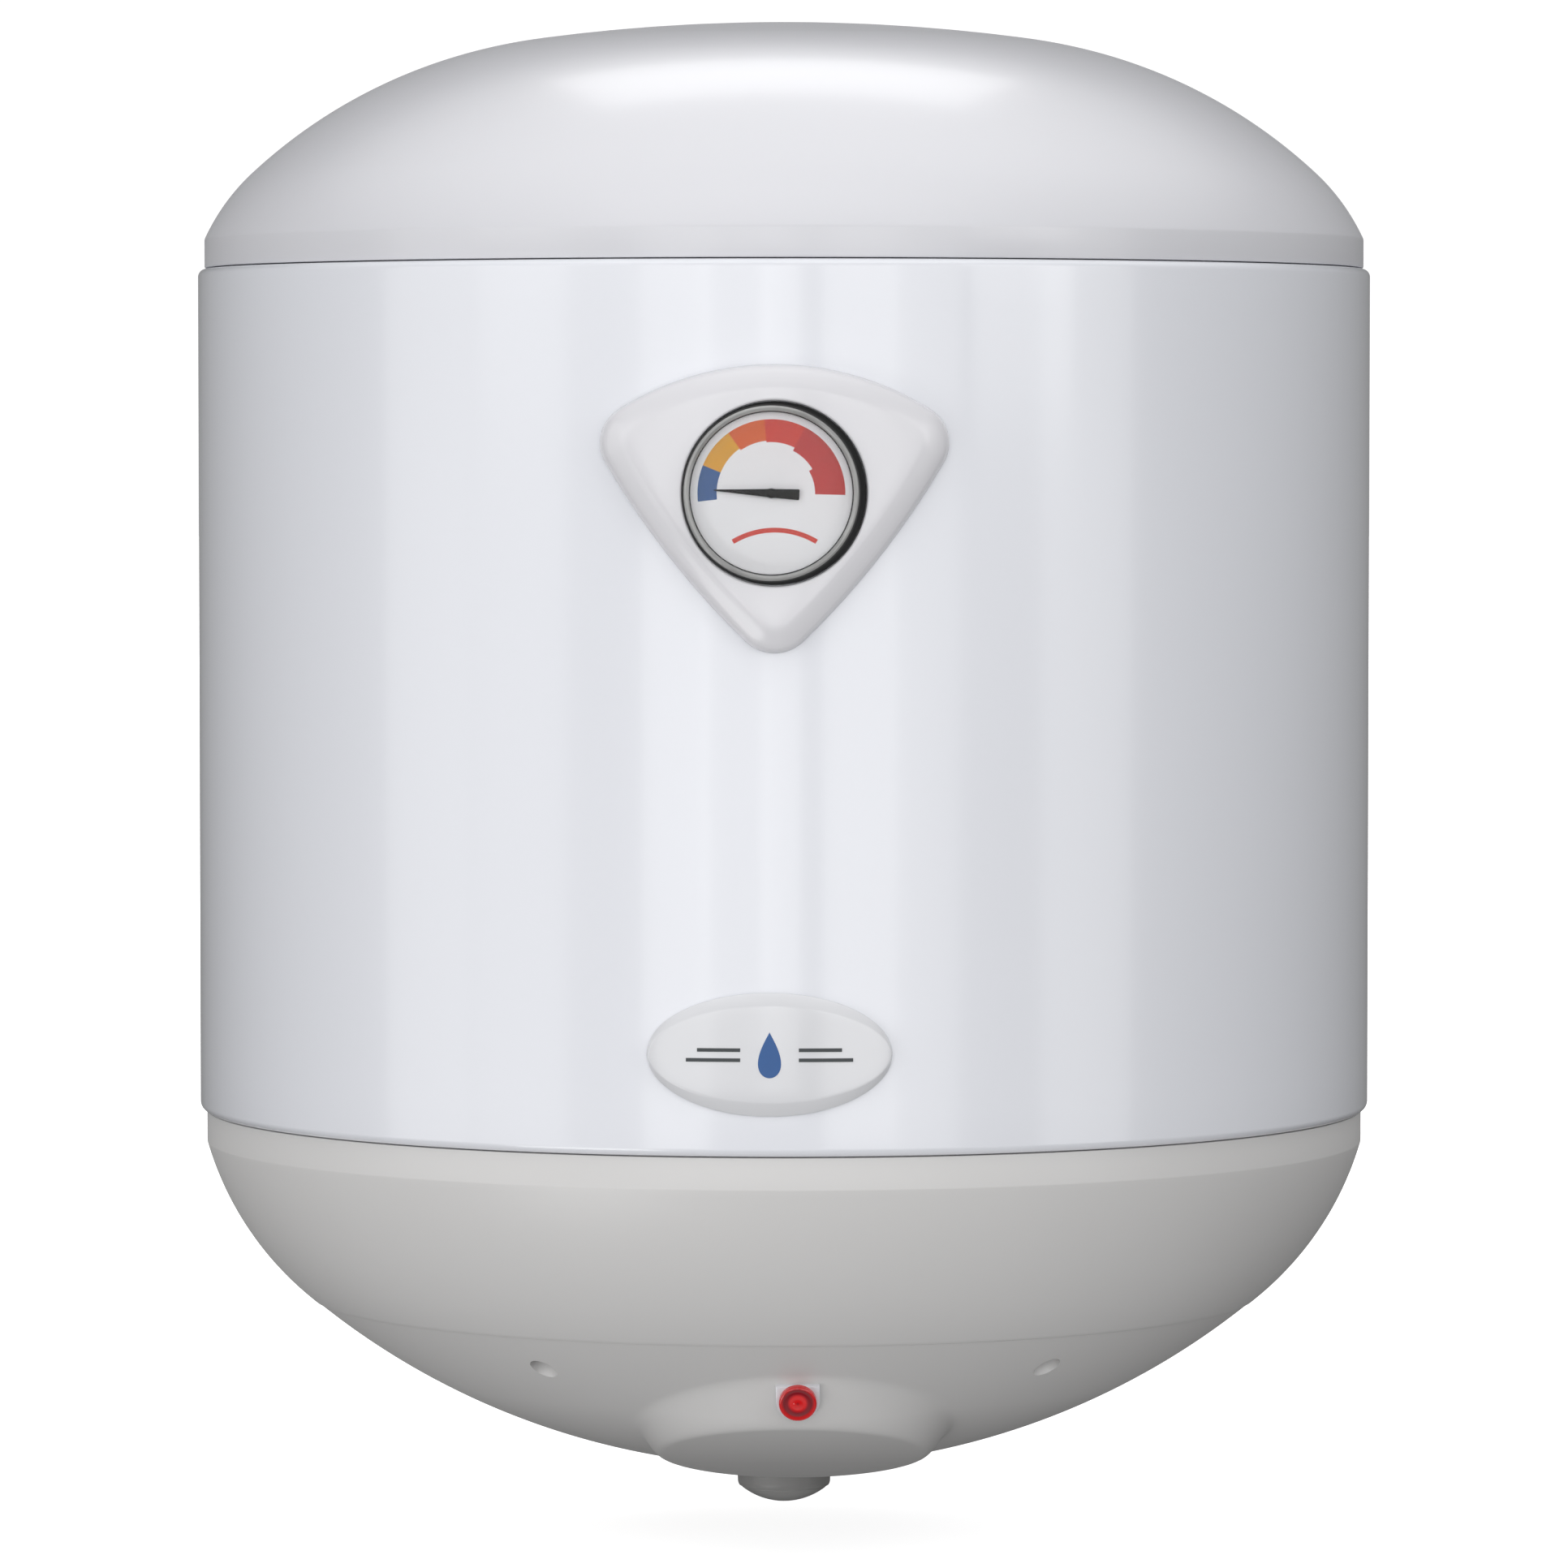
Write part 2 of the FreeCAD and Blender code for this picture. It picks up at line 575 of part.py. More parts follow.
def make_service_cover():
    top = "crease_z + seat_up - 0.4"
    face_z = value("boss_face_z")
    boss = boss_lump("0")
    face_rim = softened(boss, "boss_edge_r", lambda edge: edge.Closed and edge.BoundBox.ZMin < face_z - 2
                        and edge.Length < 2 * math.pi * value("boss_base_x - 4"))
    x, y, z = along_lamp("-lamp_seat_long")
    seat_round = solid("Cylinder", {"Radius": "lamp_seat_r", "Height": "lamp_seat_long"},
                       (x, y, z), tip=value("lamp_tip"))
    flat = {"Length": "lamp_seat_r * 2", "Width": "lamp_seat_up", "Height": "lamp_seat_long"}
    seat_flat = solid("Box", flat, (f"{x} - lamp_seat_r", y, z), tip=value("lamp_tip"))
    outside = [dish("DishOutside", "0", top), face_rim, seat_round, seat_flat]
    inside = [dish("DishInside", "cap_wall", f"{top} + 1"), boss_lump("cap_wall")]
    holes = [solid("Cylinder", {"Radius": "lamp_body_r + 0.3", "Height": "40"},
                   along_lamp(-30), tip=value("lamp_tip"))]
    holes.append(solid("Cylinder", {"Radius": "spindle_r + 1", "Height": "20"},
                       ("0", "0", "cover_low - 5")))
    stubs = []
    bores = []
    for x, y in screw_places():
        well = {"Radius": "well_r + well_wall", "Height": "18"}
        stubs.append(boolean("Common", solid("Cylinder", well, (x, y, "well_floor - 15.4")), outside[0]))
        bores.append(solid("Cylinder", {"Radius": "well_r", "Height": "30"}, (x, y, "well_floor - 30")))
        bores.append(solid("Cylinder", {"Radius": "screw_hole_r", "Height": "20"}, (x, y, "well_floor - 5")))
    for side in ("pipe_x", "-pipe_x"):
        collar = {"Radius": "pipe_collar_r", "Height": "24"}
        stubs.append(solid("Cylinder", collar, (side, "pipe_y", "pipe_collar_z")))
        bores.append(solid("Cylinder", {"Radius": "pipe_r + 2", "Height": "through"},
                           (side, "pipe_y", "pipe_collar_z - 20")))
    gland_collar = {"Radius": "gland_collar_r", "Height": "20"}
    stubs.append(solid("Cylinder", gland_collar, ("gland_x", "gland_y", "gland_collar_z")))
    bores.append(solid("Cylinder", {"Radius": "gland_hole_r", "Height": "through"},
                       ("gland_x", "gland_y", "gland_collar_z - 20")))
    hollow = boolean("Cut", several("MultiFuse", outside), several("MultiFuse", inside))
    whole = boolean("Cut", several("MultiFuse", [hollow] + stubs), several("MultiFuse", holes + bores))
    node(whole, "service_cover")


def make_cover_screws():
    screws = []
    for x, y in screw_places():
        low = "well_floor - screw_head_tall - 0.1"
        head = solid("Cylinder", {"Radius": "screw_head_r", "Height": "screw_head_tall"}, (x, y, low))
        shank = solid("Cylinder", {"Radius": "screw_shank_r", "Height": "screw_shank_long"},
                      (x, y, "well_floor - 1"))
        slot = solid("Box", {"Length": "2 * screw_head_r", "Width": "screw_slot", "Height": "1.2"},
                     (f"{x} - screw_head_r", f"{y} - screw_slot / 2", f"{low} - 0.1"))
        cross = solid("Box", {"Length": "screw_slot", "Width": "2 * screw_head_r", "Height": "1.2"},
                      (f"{x} - screw_slot / 2", f"{y} - screw_head_r", f"{low} - 0.1"))
        screws.append(boolean("Cut", boolean("Fuse", head, shank), boolean("Fuse", slot, cross)))
    node(several("Compound", screws), "cover_screws")


def make_wall_bracket():
    """One strip of steel: a slotted plate on the wall and two legs welded to the tank."""
    body = new_body("wall_bracket", at=("0", "0", "0"))
    sketch = sketch_on(body, "XY_Plane")
    reach = "-(axis_y - 150)"
    inside = "bracket_half - bracket_sheet"
    inner_bend = "bracket_bend_r - bracket_sheet"
    draw(sketch, [
        ("-bracket_half", reach),
        (f"-({inside})", reach),
        (f"-({inside})", "-bracket_bend_r"),
        (f"-({inside}) + {inner_bend}", "-bracket_sheet", inner_bend, CLOCKWISE),
        (f"{inside} - ({inner_bend})", "-bracket_sheet"),
        (inside, "-bracket_bend_r", inner_bend, CLOCKWISE),
        (inside, reach),
        ("bracket_half", reach),
        ("bracket_half", "-bracket_bend_r"),
        ("bracket_half - bracket_bend_r", "0", "bracket_bend_r", ANTICLOCKWISE),
        ("-(bracket_half - bracket_bend_r)", "0"),
        ("-bracket_half", "-bracket_bend_r", "bracket_bend_r", ANTICLOCKWISE),
    ])
    pad = body.newObject("PartDesign::Pad", "Strip")
    pad.Profile = sketch
    pad.Midplane = True
    bind(pad, {"Length": "bracket_tall"})
    tank = {"Radius": "tank_r + 0.05", "Height": "200"}
    shape_in(body, "SubtractiveCylinder", tank, ("0", "-axis_y", "-100"))
    for low in ("leg_tall / 2", "-(leg_tall / 2 + 20)"):
        trim = {"Length": "2 * bracket_half + 20", "Width": "150", "Height": "20"}
        shape_in(body, "SubtractiveBox", trim, ("-(bracket_half + 10)", "-150 - 14", low))
    for side in ("slot_pitch / 2", "-slot_pitch / 2"):
        straight = "slot_long / 2 - slot_r"
        for end in (f"{side} + {straight}", f"{side} - ({straight})"):
            shape_in(body, "SubtractiveCylinder", {"Radius": "slot_r", "Height": "20"},
                     (end, "10", "0"), tip=FRONT)
        middle = {"Length": f"2 * ({straight})", "Width": "20", "Height": "2 * slot_r"}
        shape_in(body, "SubtractiveBox", middle, (f"{side} - ({straight})", "-10", "-slot_r"))


def make_lower_wall_spacer():
    turned("lower_wall_spacer", [
        ("0", "shell_r - spacer_peg_long"),
        ("spacer_peg_r", "shell_r - spacer_peg_long"),
        ("spacer_peg_r", "shell_r + plate_gap"),
        ("spacer_neck_r", "shell_r + plate_gap"),
        ("spacer_foot_r", "axis_y - 4"),
        ("spacer_foot_r", "axis_y"),
        ("0", "axis_y"),
    ], at=("0", "-axis_y", "spacer_z"), tip=BACK)


# ---------------------------------------------------------------- thermometer

def panel_outline():
    """Rounded triangle: arched top, two round corners, bowed sides and a round tip."""
    arch, corner = value("panel_arch_r"), value("panel_corner_r")
    side, tip = value("panel_side_r"), value("panel_tip_r")
    arch_z = value("panel_apex_z") - arch
    corner_x = value("panel_half") - corner
    corner_z = arch_z + math.sqrt((arch - corner) ** 2 - corner_x ** 2)
    tip_z = value("panel_tip_z") + tip
    to_tip = Vector(corner_x, tip_z - corner_z, 0)
    gap = to_tip.Length
    along = ((side - corner) ** 2 - (side - tip) ** 2 + gap ** 2) / (2 * gap)
    across = math.sqrt((side - corner) ** 2 - along ** 2)
    way = to_tip.normalize()
    corner_centre = Vector(-corner_x, corner_z, 0)
    side_centre = corner_centre + way * along + Vector(-way.y, way.x, 0) * across
    up_left = (corner_centre - Vector(0, arch_z, 0)).normalize()
    shoulder = Vector(0, arch_z, 0) + up_left * arch
    flank = corner_centre + (corner_centre - side_centre).normalize() * corner
    foot_way = (Vector(0, tip_z, 0) - side_centre).normalize()
    foot = Vector(0, tip_z, 0) + foot_way * tip
    return [
        (shoulder.x, shoulder.y, "panel_arch_r", ANTICLOCKWISE),
        (flank.x, flank.y, "panel_corner_r", ANTICLOCKWISE),
        (foot.x, foot.y, "panel_side_r", ANTICLOCKWISE),
        (-foot.x, foot.y, "panel_tip_r", ANTICLOCKWISE),
        (-flank.x, flank.y, "panel_side_r", ANTICLOCKWISE),
        (-shoulder.x, shoulder.y, "panel_corner_r", ANTICLOCKWISE),
    ]


def front_plate(name, outline, x, z, long):
    """An outline as seen from the front, pushed forwards from the tank axis."""
    body = doc.addObject("PartDesign::Body", name)
    sketch = sketch_on(body, "XZ_Plane")
    draw(sketch, outline)
    pad = body.newObject("PartDesign::Pad", name + "_pad")
    pad.Profile = sketch
    bind(pad, {"Length": long})
    return place(body, (x, "0", z))


def jacket_part(plate, outer):
    """What lies between the jacket and an outer radius, within a plate's outline."""
    tall = "shell_top - shell_low"
    inner = solid("Cylinder", {"Radius": "shell_r + plate_gap", "Height": tall}, ("0", "0", "shell_low"))
    layer = solid("Cylinder", {"Radius": outer, "Height": tall}, ("0", "0", "shell_low"))
    return boolean("Cut", boolean("Common", plate, layer), inner)


def edge_at(out):
    """A test for edges whose middle lies this far from the tank axis, on the front of a plate."""
    def is_there(edge):
        middle = edge.valueAt((edge.FirstParameter + edge.LastParameter) / 2)
        return math.hypot(middle.x, middle.y) > value(out) - 0.1
    return is_there


def make_thermometer_panel():
    plate = front_plate("PanelPlate", panel_outline(), "panel_x", "0", "panel_out + 20")
    block = jacket_part(plate, "panel_out")
    soft_block = softened(block, "panel_edge_r", edge_at("panel_out"))
    hole = solid("Cylinder", {"Radius": "panel_hole_r", "Height": "through"},
                 ("panel_x", "-tank_r", "gauge_z"), tip=FRONT)
    node(boolean("Cut", soft_block, hole), "thermometer_panel")


GAUGE = ("gauge_x", "-axis_y", "gauge_z")


def make_gauge():
    turned("gauge_gasket", ring("gauge_case_r + 0.5", "panel_hole_r - 0.3", "shell_r + 0.4", "shell_r + 2.2"),
           at=("panel_x", "-axis_y", "gauge_z"), tip=FRONT)
    case = turned("gauge_case", [
        ("0", "206"),
        ("gauge_case_r - 0.9", "206"),
        ("gauge_case_r - 0.9", "shell_r + 2.4"),
        ("gauge_flange_r", "shell_r + 2.4"),
        ("gauge_flange_r", "shell_r + 3.6"),
        ("gauge_case_r - 2", "shell_r + 3.6"),
        ("gauge_case_r - 2", "207.2"),
        ("0", "207.2"),
    ], at=GAUGE, tip=FRONT)
    drill(case, "0", "-12", "1.4", "200", "210")
    bridge = new_body("spindle_bridge", at=GAUGE, tip=FRONT)
    shape_in(bridge, "AdditiveBox", {"Length": "53", "Width": "7", "Height": "2"}, ("-26.5", "-3.5", "215"))
    drill(bridge, "0", "0", "1.0", "210", "220")
    turned("gauge_dial", ring("1.6", "dial_r", "shell_r + 3.8", "shell_r + 4.5"), at=GAUGE, tip=FRONT)
    turned("gauge_lens", [
        ("0", "shell_r + 8.2"),
        ("dial_r + 0.4", "shell_r + 8.2"),
        ("dial_r + 0.4", "shell_r + 3.8"),
        ("rim_outer_r", "shell_r + 3.8"),
        ("rim_outer_r", "shell_r + 9.0"),
        ("rim_outer_r - 0.7", "shell_r + 9.6"),
        ("0", "shell_r + 9.6"),
    ], at=GAUGE, tip=FRONT)
    turned("needle_spindle", [
        ("0", "211"),
        ("0.9", "211"),
        ("0.9", "shell_r + 5.1"),
        ("1.8", "shell_r + 5.1"),
        ("1.8", "shell_r + 5.7"),
        ("0.7", "shell_r + 5.7"),
        ("0.7", "shell_r + 7.0"),
        ("0", "shell_r + 7.0"),
    ], at=GAUGE, tip=FRONT)
    needle = new_body("gauge_needle", at=GAUGE, tip=FRONT, spin="needle_angle")
    sketch = sketch_on(needle, "XY_Plane")
    draw(sketch, [
        ("needle_long", "-0.25"),
        ("needle_long", "0.25"),
        ("0", "1.5"),
        ("-needle_tail", "1.95"),
        ("-needle_tail", "-1.95"),
        ("0", "-1.5"),
    ])
    pad = needle.newObject("PartDesign::Pad", "NeedleBlade")
    pad.Profile = sketch
    pad.Length = 0.5
    sketch.AttachmentOffset = Placement(Vector(0, 0, value("shell_r + 5.9")), Rotation())
    bind(sketch, {"AttachmentOffset.Base.z": "shell_r + 5.9"})
    drill(needle, "0", "0", "0.75", "shell_r + 5", "shell_r + 8")


def make_bourdon_coil():
    """Flat spiral of half circles behind the spindle bridge."""
    gauge = Vector(value("gauge_x"), 0, value("gauge_z"))
    depth = -210.0
    edges = []
    here, left = 4.0, False
    pitch = 2.4
    for half_turn in range(6):
        start = gauge + Vector(-here if left else here, depth, 0)
        reach = here + pitch
        end = gauge + Vector(reach if left else -reach, depth, 0)
        centre_x = (start.x + end.x) / 2
        radius = abs(end.x - start.x) / 2
        middle = Vector(centre_x, depth, gauge.z + (-radius if left else radius))
        edges.append(Part.Arc(start, middle, end).toShape())
        here, left = reach, not left
    shaped("bourdon_coil", swept(edges, 0.7))


def make_temperature_probe():
    gauge_x, gauge_z = value("gauge_x"), value("gauge_z")
    bulb_y = -(value("tank_r") + 3.6)
    turned("sensor_bulb", disc("3.0", "-100", "-50"), at=("gauge_x", "-axis_y - tank_r - 3.6", "0"))
    clip = new_body("bulb_clip")
    shape_in(clip, "AdditiveBox", {"Length": "14", "Width": "4.6", "Height": "8"},
             ("gauge_x - 7", "-(tank_r + 8.2)", "-79"))
    drill(clip, "gauge_x", "-(tank_r + 3.6)", "3.1", "-90", "-60")
    top = gauge_z - 12
    shaped("capillary_tube", bent_tube([
        (gauge_x, bulb_y, -49.9),
        (gauge_x, bulb_y, top),
        (gauge_x, -208.9, top),
    ], 2.0, 0.7))


def make_badge():
    a, b = value("badge_half_x"), value("badge_half_z")
    body = doc.addObject("PartDesign::Body", "BadgePlate")
    sketch = sketch_on(body, "XZ_Plane")
    oval = sketch.addGeometry(Part.Ellipse(Vector(a, 0, 0), Vector(0, b, 0), Vector(0, 0, 0)), False)
    sketch.exposeInternalGeometry(oval)
    sketch.addConstraint(Sketcher.Constraint("Coincident", oval, 3, -1, 1))
    pin_down(sketch, 1, 1, "badge_half_x", "0")
    mark = sketch.addConstraint(Sketcher.Constraint("Distance", 2, 2 * b))
    sketch.setExpression(f"Constraints[{mark}]", sized("2 * badge_half_z"))
    pad = body.newObject("PartDesign::Pad", "BadgePad")
    pad.Profile = sketch
    bind(pad, {"Length": "badge_out + 20"})
    place(body, ("badge_x", "0", "badge_z"))
    block = jacket_part(body, "badge_out")
    node(softened(block, "badge_edge_r", edge_at("badge_out")), "badge_plate")


# ---------------------------------------------------------------- lamp and knob

def make_lamp():
    axis = along_lamp(0)
    spot = (axis[0], f"{axis[1]} - axis_y", axis[2])
    turn = value("lamp_tip")
    turned("lamp_lens", [
        ("0", "0.2"),
        ("lens_r", "0.2"),
        ("lens_r", "1.8"),
        ("lens_r - 1.2", "3.0", "1.2", ANTICLOCKWISE),
        ("0", "3.8", dome_radius("lens_r - 1.2", "0.8"), ANTICLOCKWISE),
    ], at=spot, tip=turn)
    turned("lamp_body", disc("lamp_body_r", "-25", "0.1"), at=spot, tip=turn)
    turned("lamp_clip", ring("lamp_body_r + 0.05", "9", "-20.5", "-19.3"), at=spot, tip=turn)


def make_control_knob():
    turned("control_knob", [
        ("0", "-392"),
        ("spindle_r + 0.05", "-392"),
        ("spindle_r + 0.05", "knob_top"),
        ("knob_r - 0.6", "knob_top"),
        ("knob_r", "knob_top - 0.6", "0.6", CLOCKWISE),
        ("knob_r", "knob_rim_low + 0.8"),
        ("knob_r - 0.8", "knob_rim_low", "0.8", CLOCKWISE),
        ("knob_r - 1.4", "knob_rim_low"),
        ("knob_r - 1.4", "knob_rim_low + 0.5"),
        ("knob_r - 1.9", "knob_rim_low + 0.5"),
        ("knob_r - 1.9", "knob_rim_low - 0.2"),
        ("0", "knob_low", dome_radius("knob_r - 1.9", "knob_rim_low - 0.2 - knob_low"), CLOCKWISE),
    ])
    turned("control_spindle", disc("spindle_r", "-391.9", "thermostat_low + 7"))


# ---------------------------------------------------------------- tank

def head(label, skirt_end, brim, rise, up):
    """A dished end: skirt, knuckle and crown, of one thickness. up is 1 for the top, -1 for the bottom."""
    sign = "" if up == 1 else "-"
    outer = "(tank_r - tank_sheet - head_gap)"
    crown = f"((({outer} - knuckle_r)^2 + {rise}^2 - knuckle_r^2) / (2 * ({rise} - knuckle_r)))"
    turn = ANTICLOCKWISE if up == 1 else CLOCKWISE
    back = -turn

    def meeting(inset):
        away = f"({crown} - {inset}) / ({crown} - knuckle_r)"
        x = f"({outer} - knuckle_r) * {away}"
        z = f"{brim} + {sign}1 * ({rise} - {crown} + ({crown} - {rise}) * {away})"
        return x, z
    turned(label, [
        (f"{outer} - tank_sheet", skirt_end),
        (outer, skirt_end),
        (outer, brim),
        (*meeting("0"), "knuckle_r", turn),
        ("0", f"{brim} + {sign}1 * {rise}", crown, turn),
        ("0", f"{brim} + {sign}1 * ({rise} - tank_sheet)"),
        (*meeting("tank_sheet"), f"{crown} - tank_sheet", back),
        (f"{outer} - tank_sheet", brim, "knuckle_r - tank_sheet", back),
    ])
    return nodes[label]


def make_tank():
    turned("tank_wall", ring("tank_r - tank_sheet", "tank_r", "tank_low", "tank_top"))
    head("tank_top_head", "tank_top - head_overlap", "tank_top", "top_head_rise", 1)
    bottom = head("tank_bottom_head", "tank_low + head_overlap", "tank_low", "low_head_rise", -1)
    drill(bottom, "0", "0", "flange_r + 0.2", "-320", "-260")
    for side in ("pipe_x", "-pipe_x"):
        drill(bottom, side, "pipe_y", "pipe_r + 0.1", "-320", "-240")


def make_foam():
    """Poured foam between the tank and the casing, open where the fittings pass."""
    gap = "(cap_wall + 0.5)"
    jacket_in = "shell_r - shell_sheet - 0.3"
    skirt_in = "spigot_r - cap_wall - 0.4"
    reach = "(spigot_long + 0.6)"
    outline = dome_down(gap) + [
        (f"cap_r - {gap}", f"shell_top + seam + {gap}"),
        (skirt_in, f"shell_top + seam + {gap}"),
        (skirt_in, f"shell_top - {reach}"),
        (jacket_in, f"shell_top - {reach}"),
        (jacket_in, f"shell_low + {reach}"),
        (skirt_in, f"shell_low + {reach}"),
        (skirt_in, f"shell_low - seam - {gap}"),
        (f"cap_r - {gap}", f"shell_low - seam - {gap}"),
        (f"cap_r - {gap}", "band_low"),
        ("crease_r + cap_wall + 2.4", "crease_z + seat_up + cap_wall + 0.6", f"bowl_r - {gap}", CLOCKWISE),
        ("seat_r + cap_wall + 0.5", "crease_z + seat_up + cap_wall + 0.6"),
        ("seat_r + cap_wall + 0.5", "ceiling_z + cap_wall + 0.5"),
        ("0", "ceiling_z + cap_wall + 0.5"),
    ]
    body = turned("insulation_foam", outline)
    outer = "(tank_r + 0.2)"

    def crown(rise):
        return f"((({outer} - knuckle_r)^2 + {rise}^2 - knuckle_r^2) / (2 * ({rise} - knuckle_r)))"
    top_rise = "(top_head_rise + 0.3)"
    low_rise = "(low_head_rise + 0.3)"
    top, low = crown(top_rise), crown(low_rise)
    revolve(body, [
        ("0", f"tank_top + {top_rise}", top, ANTICLOCKWISE),
        ("0", f"tank_low - {low_rise}"),
        (f"({outer} - knuckle_r) * {low} / ({low} - knuckle_r)",
         f"tank_low - ({low_rise} - {low} + ({low} - {low_rise}) * {low} / ({low} - knuckle_r))",
         low, ANTICLOCKWISE),
        (outer, "tank_low", "knuckle_r", ANTICLOCKWISE),
        (outer, "tank_top"),
        (f"({outer} - knuckle_r) * {top} / ({top} - knuckle_r)",
         f"tank_top + {top_rise} - {top} + ({top} - {top_rise}) * {top} / ({top} - knuckle_r)",
         "knuckle_r", ANTICLOCKWISE),
    ], turned_away=True)
    drill(body, "0", "0", "flange_r + 0.6", "-330", "-250")
    for side in ("pipe_x", "-pipe_x"):
        drill(body, side, "pipe_y", "pipe_r + 0.5", "-330", "-250")
    slit = {"Length": "bracket_sheet + 1", "Width": "90", "Height": "leg_tall + 1"}
    for side in ("-(bracket_half + 0.5)", "bracket_half - bracket_sheet - 0.5"):
        shape_in(body, "SubtractiveBox", slit, (side, "150", "-(leg_tall / 2 + 0.5)"))
    well = {"Radius": "gauge_case_r + gauge_clear + 0.1", "Height": "through"}
    shape_in(body, "SubtractiveCylinder", well, ("gauge_x", "-180", "gauge_z"), tip=FRONT)
    channel = {"Length": "18", "Width": "30", "Height": "96"}
    shape_in(body, "SubtractiveBox", channel, ("gauge_x - 9", "-(tank_r + 10)", "-104"))
    spacer = {"Radius": "spacer_hole_r", "Height": "40"}
    shape_in(body, "SubtractiveCylinder", spacer, ("0", "shell_r - 6", "spacer_z"), tip=BACK)


def make_pipes():
    for label, side in (("cold_inlet_nipple", "pipe_x"), ("hot_outlet_nipple", "-pipe_x")):
        turned(label, [
            ("pipe_bore_r", "pipe_low"),
            ("pipe_r - 1.2", "pipe_low"),
            ("pipe_r", "pipe_low + 1.2"),
            ("pipe_r", "pipe_low + pipe_thread"),
            ("pipe_r - pipe_relief", "pipe_low + pipe_thread"),
            ("pipe_r - pipe_relief", "pipe_top"),
            ("pipe_bore_r", "pipe_top"),
        ], at=(side, "pipe_y - axis_y", "0"))
    for label, side in (("cold_ring", "pipe_x"), ("hot_ring", "-pipe_x")):
        turned(label, [
            ("pipe_r + 0.3", "pipe_collar_z - 3"),
            ("pipe_collar_r - 0.6", "pipe_collar_z - 3"),
            ("pipe_collar_r + 0.4", "pipe_collar_z - 2"),
            ("pipe_collar_r + 0.4", "pipe_collar_z - 0.1"),
            ("pipe_r + 1.8", "pipe_collar_z - 0.1"),
            ("pipe_r + 1.8", "pipe_collar_z + 8"),
            ("pipe_r + 0.3", "pipe_collar_z + 8"),
        ], at=(side, "pipe_y - axis_y", "0"))
    turned("hot_standpipe", ring("pipe_bore_r - 1.5", "pipe_bore_r - 0.2", "pipe_top - 12", "tank_top + 30"),
           at=("-pipe_x", "pipe_y - axis_y", "0"))
    diffuser = turned("cold_diffuser", [
        ("pipe_r + 0.2", "pipe_top - 8"),
        ("pipe_r + 2.2", "pipe_top - 8"),
        ("pipe_r + 2.2", "pipe_top + 24"),
        ("0", "pipe_top + 24"),
        ("0", "pipe_top + 22"),
        ("pipe_r + 0.2", "pipe_top + 22"),
    ], at=("pipe_x", "pipe_y - axis_y", "0"))
    for spin in (0.0, 90.0):
        slot = {"Length": "40", "Width": "5", "Height": "12"}
        corner = ("-20", "-2.5") if spin == 0.0 else ("2.5", "-20")
        shape_in(diffuser, "SubtractiveBox", slot, (*corner, "pipe_top + 6"), spin=spin)


def make_flange():
    collar = turned("flange_collar", ring("flange_throat_r", "flange_r", "collar_low", "collar_top"))
    gasket_low = "collar_low - gasket_thick"
    gasket = turned("flange_gasket", ring("flange_throat_r", "flange_r", gasket_low, "collar_low"))
    plate_low = f"{gasket_low} - plate_thick"
    plate = turned("flange_plate", disc("flange_r", plate_low, gasket_low))
    count = int(SIZES["stud_count"])
    studs, nuts = [], []
    for x, y in around(count, "stud_pitch_r", start=30.0):
        drill(collar, x, y, "stud_r + 0.1", "collar_low - 1", "collar_low + 11")
        drill(gasket, x, y, "stud_r + 0.4", "collar_low - 10", "collar_low + 10")
        drill(plate, x, y, "stud_r + 0.5", "collar_low - 20", "collar_low")
        studs.append(solid("Cylinder", {"Radius": "stud_r", "Height": "28"}, (x, y, "collar_low - 17.5")))
        hexagon = solid("Prism", {"Circumradius": "stud_r * 1.875", "Height": "6.5"},
                        (x, y, f"{plate_low} - 6.6"))
        bore = solid("Cylinder", {"Radius": "stud_r + 0.1", "Height": "10"}, (x, y, f"{plate_low} - 8"))
        nuts.append(boolean("Cut", hexagon, bore))
    node(several("Compound", studs), "flange_studs")
    node(several("Compound", nuts), "flange_nuts")
    for x, y, radius in (
        ("element_x", "element_y", "element_r"),
        ("-element_x", "element_y", "element_r"),
        ("0", "pocket_y", "pocket_r"),
        ("0", "anode_y", "3"),
    ):
        drill(plate, x, y, f"{radius} + 0.1", "collar_low - 20", "collar_low")


def make_flange_fittings():
    leg, y = value("element_x"), value("element_y")
    low, high = value("collar_low") - 14, value("collar_low") + 190
    back = y + 34
    shaped("heating_element", bent_tube([
        (-leg, y, low), (-leg, y, high), (-leg, back, high + 24), (leg, back, high + 24),
        (leg, y, high), (leg, y, low),
    ], 11.0, value("element_r")))
    pins = [solid("Cylinder", {"Radius": "2", "Height": "12"}, (side, "element_y", "collar_low - 26.1"))
            for side in ("element_x", "-element_x")]
    node(several("Compound", pins), "element_terminals")
    turned("thermostat_pocket", [
        ("pocket_r - 0.9", "collar_low - 12"),
        ("pocket_r", "collar_low - 12"),
        ("pocket_r", "collar_low + 180"),
        ("0", "collar_low + 180"),
        ("0", "collar_low + 178"),
        ("pocket_r - 0.9", "collar_low + 178"),
    ], at=("0", "pocket_y - axis_y", "0"))
    turned("thermostat_rod", disc("3.2", "thermostat_low + 34.2", "collar_low + 170"),
           at=("0", "pocket_y - axis_y", "0"))
    turned("anode_rod", [
        ("0", "collar_low - 20"),
        ("3", "collar_low - 20"),
        ("3", "collar_low + 12"),
        ("anode_r", "collar_low + 12"),
        ("anode_r", "collar_low + 230"),
        ("0", "collar_low + 230"),
    ], at=("0", "anode_y - axis_y", "0"))
    nut = solid("Prism", {"Circumradius": "5.7", "Height": "5"},
                ("0", "anode_y", "collar_low - gasket_thick - plate_thick - 5.1"))
    bore = solid("Cylinder", {"Radius": "3.1", "Height": "20"}, ("0", "anode_y", "collar_low - 20"))
    node(boolean("Cut", nut, bore), "anode_nut")


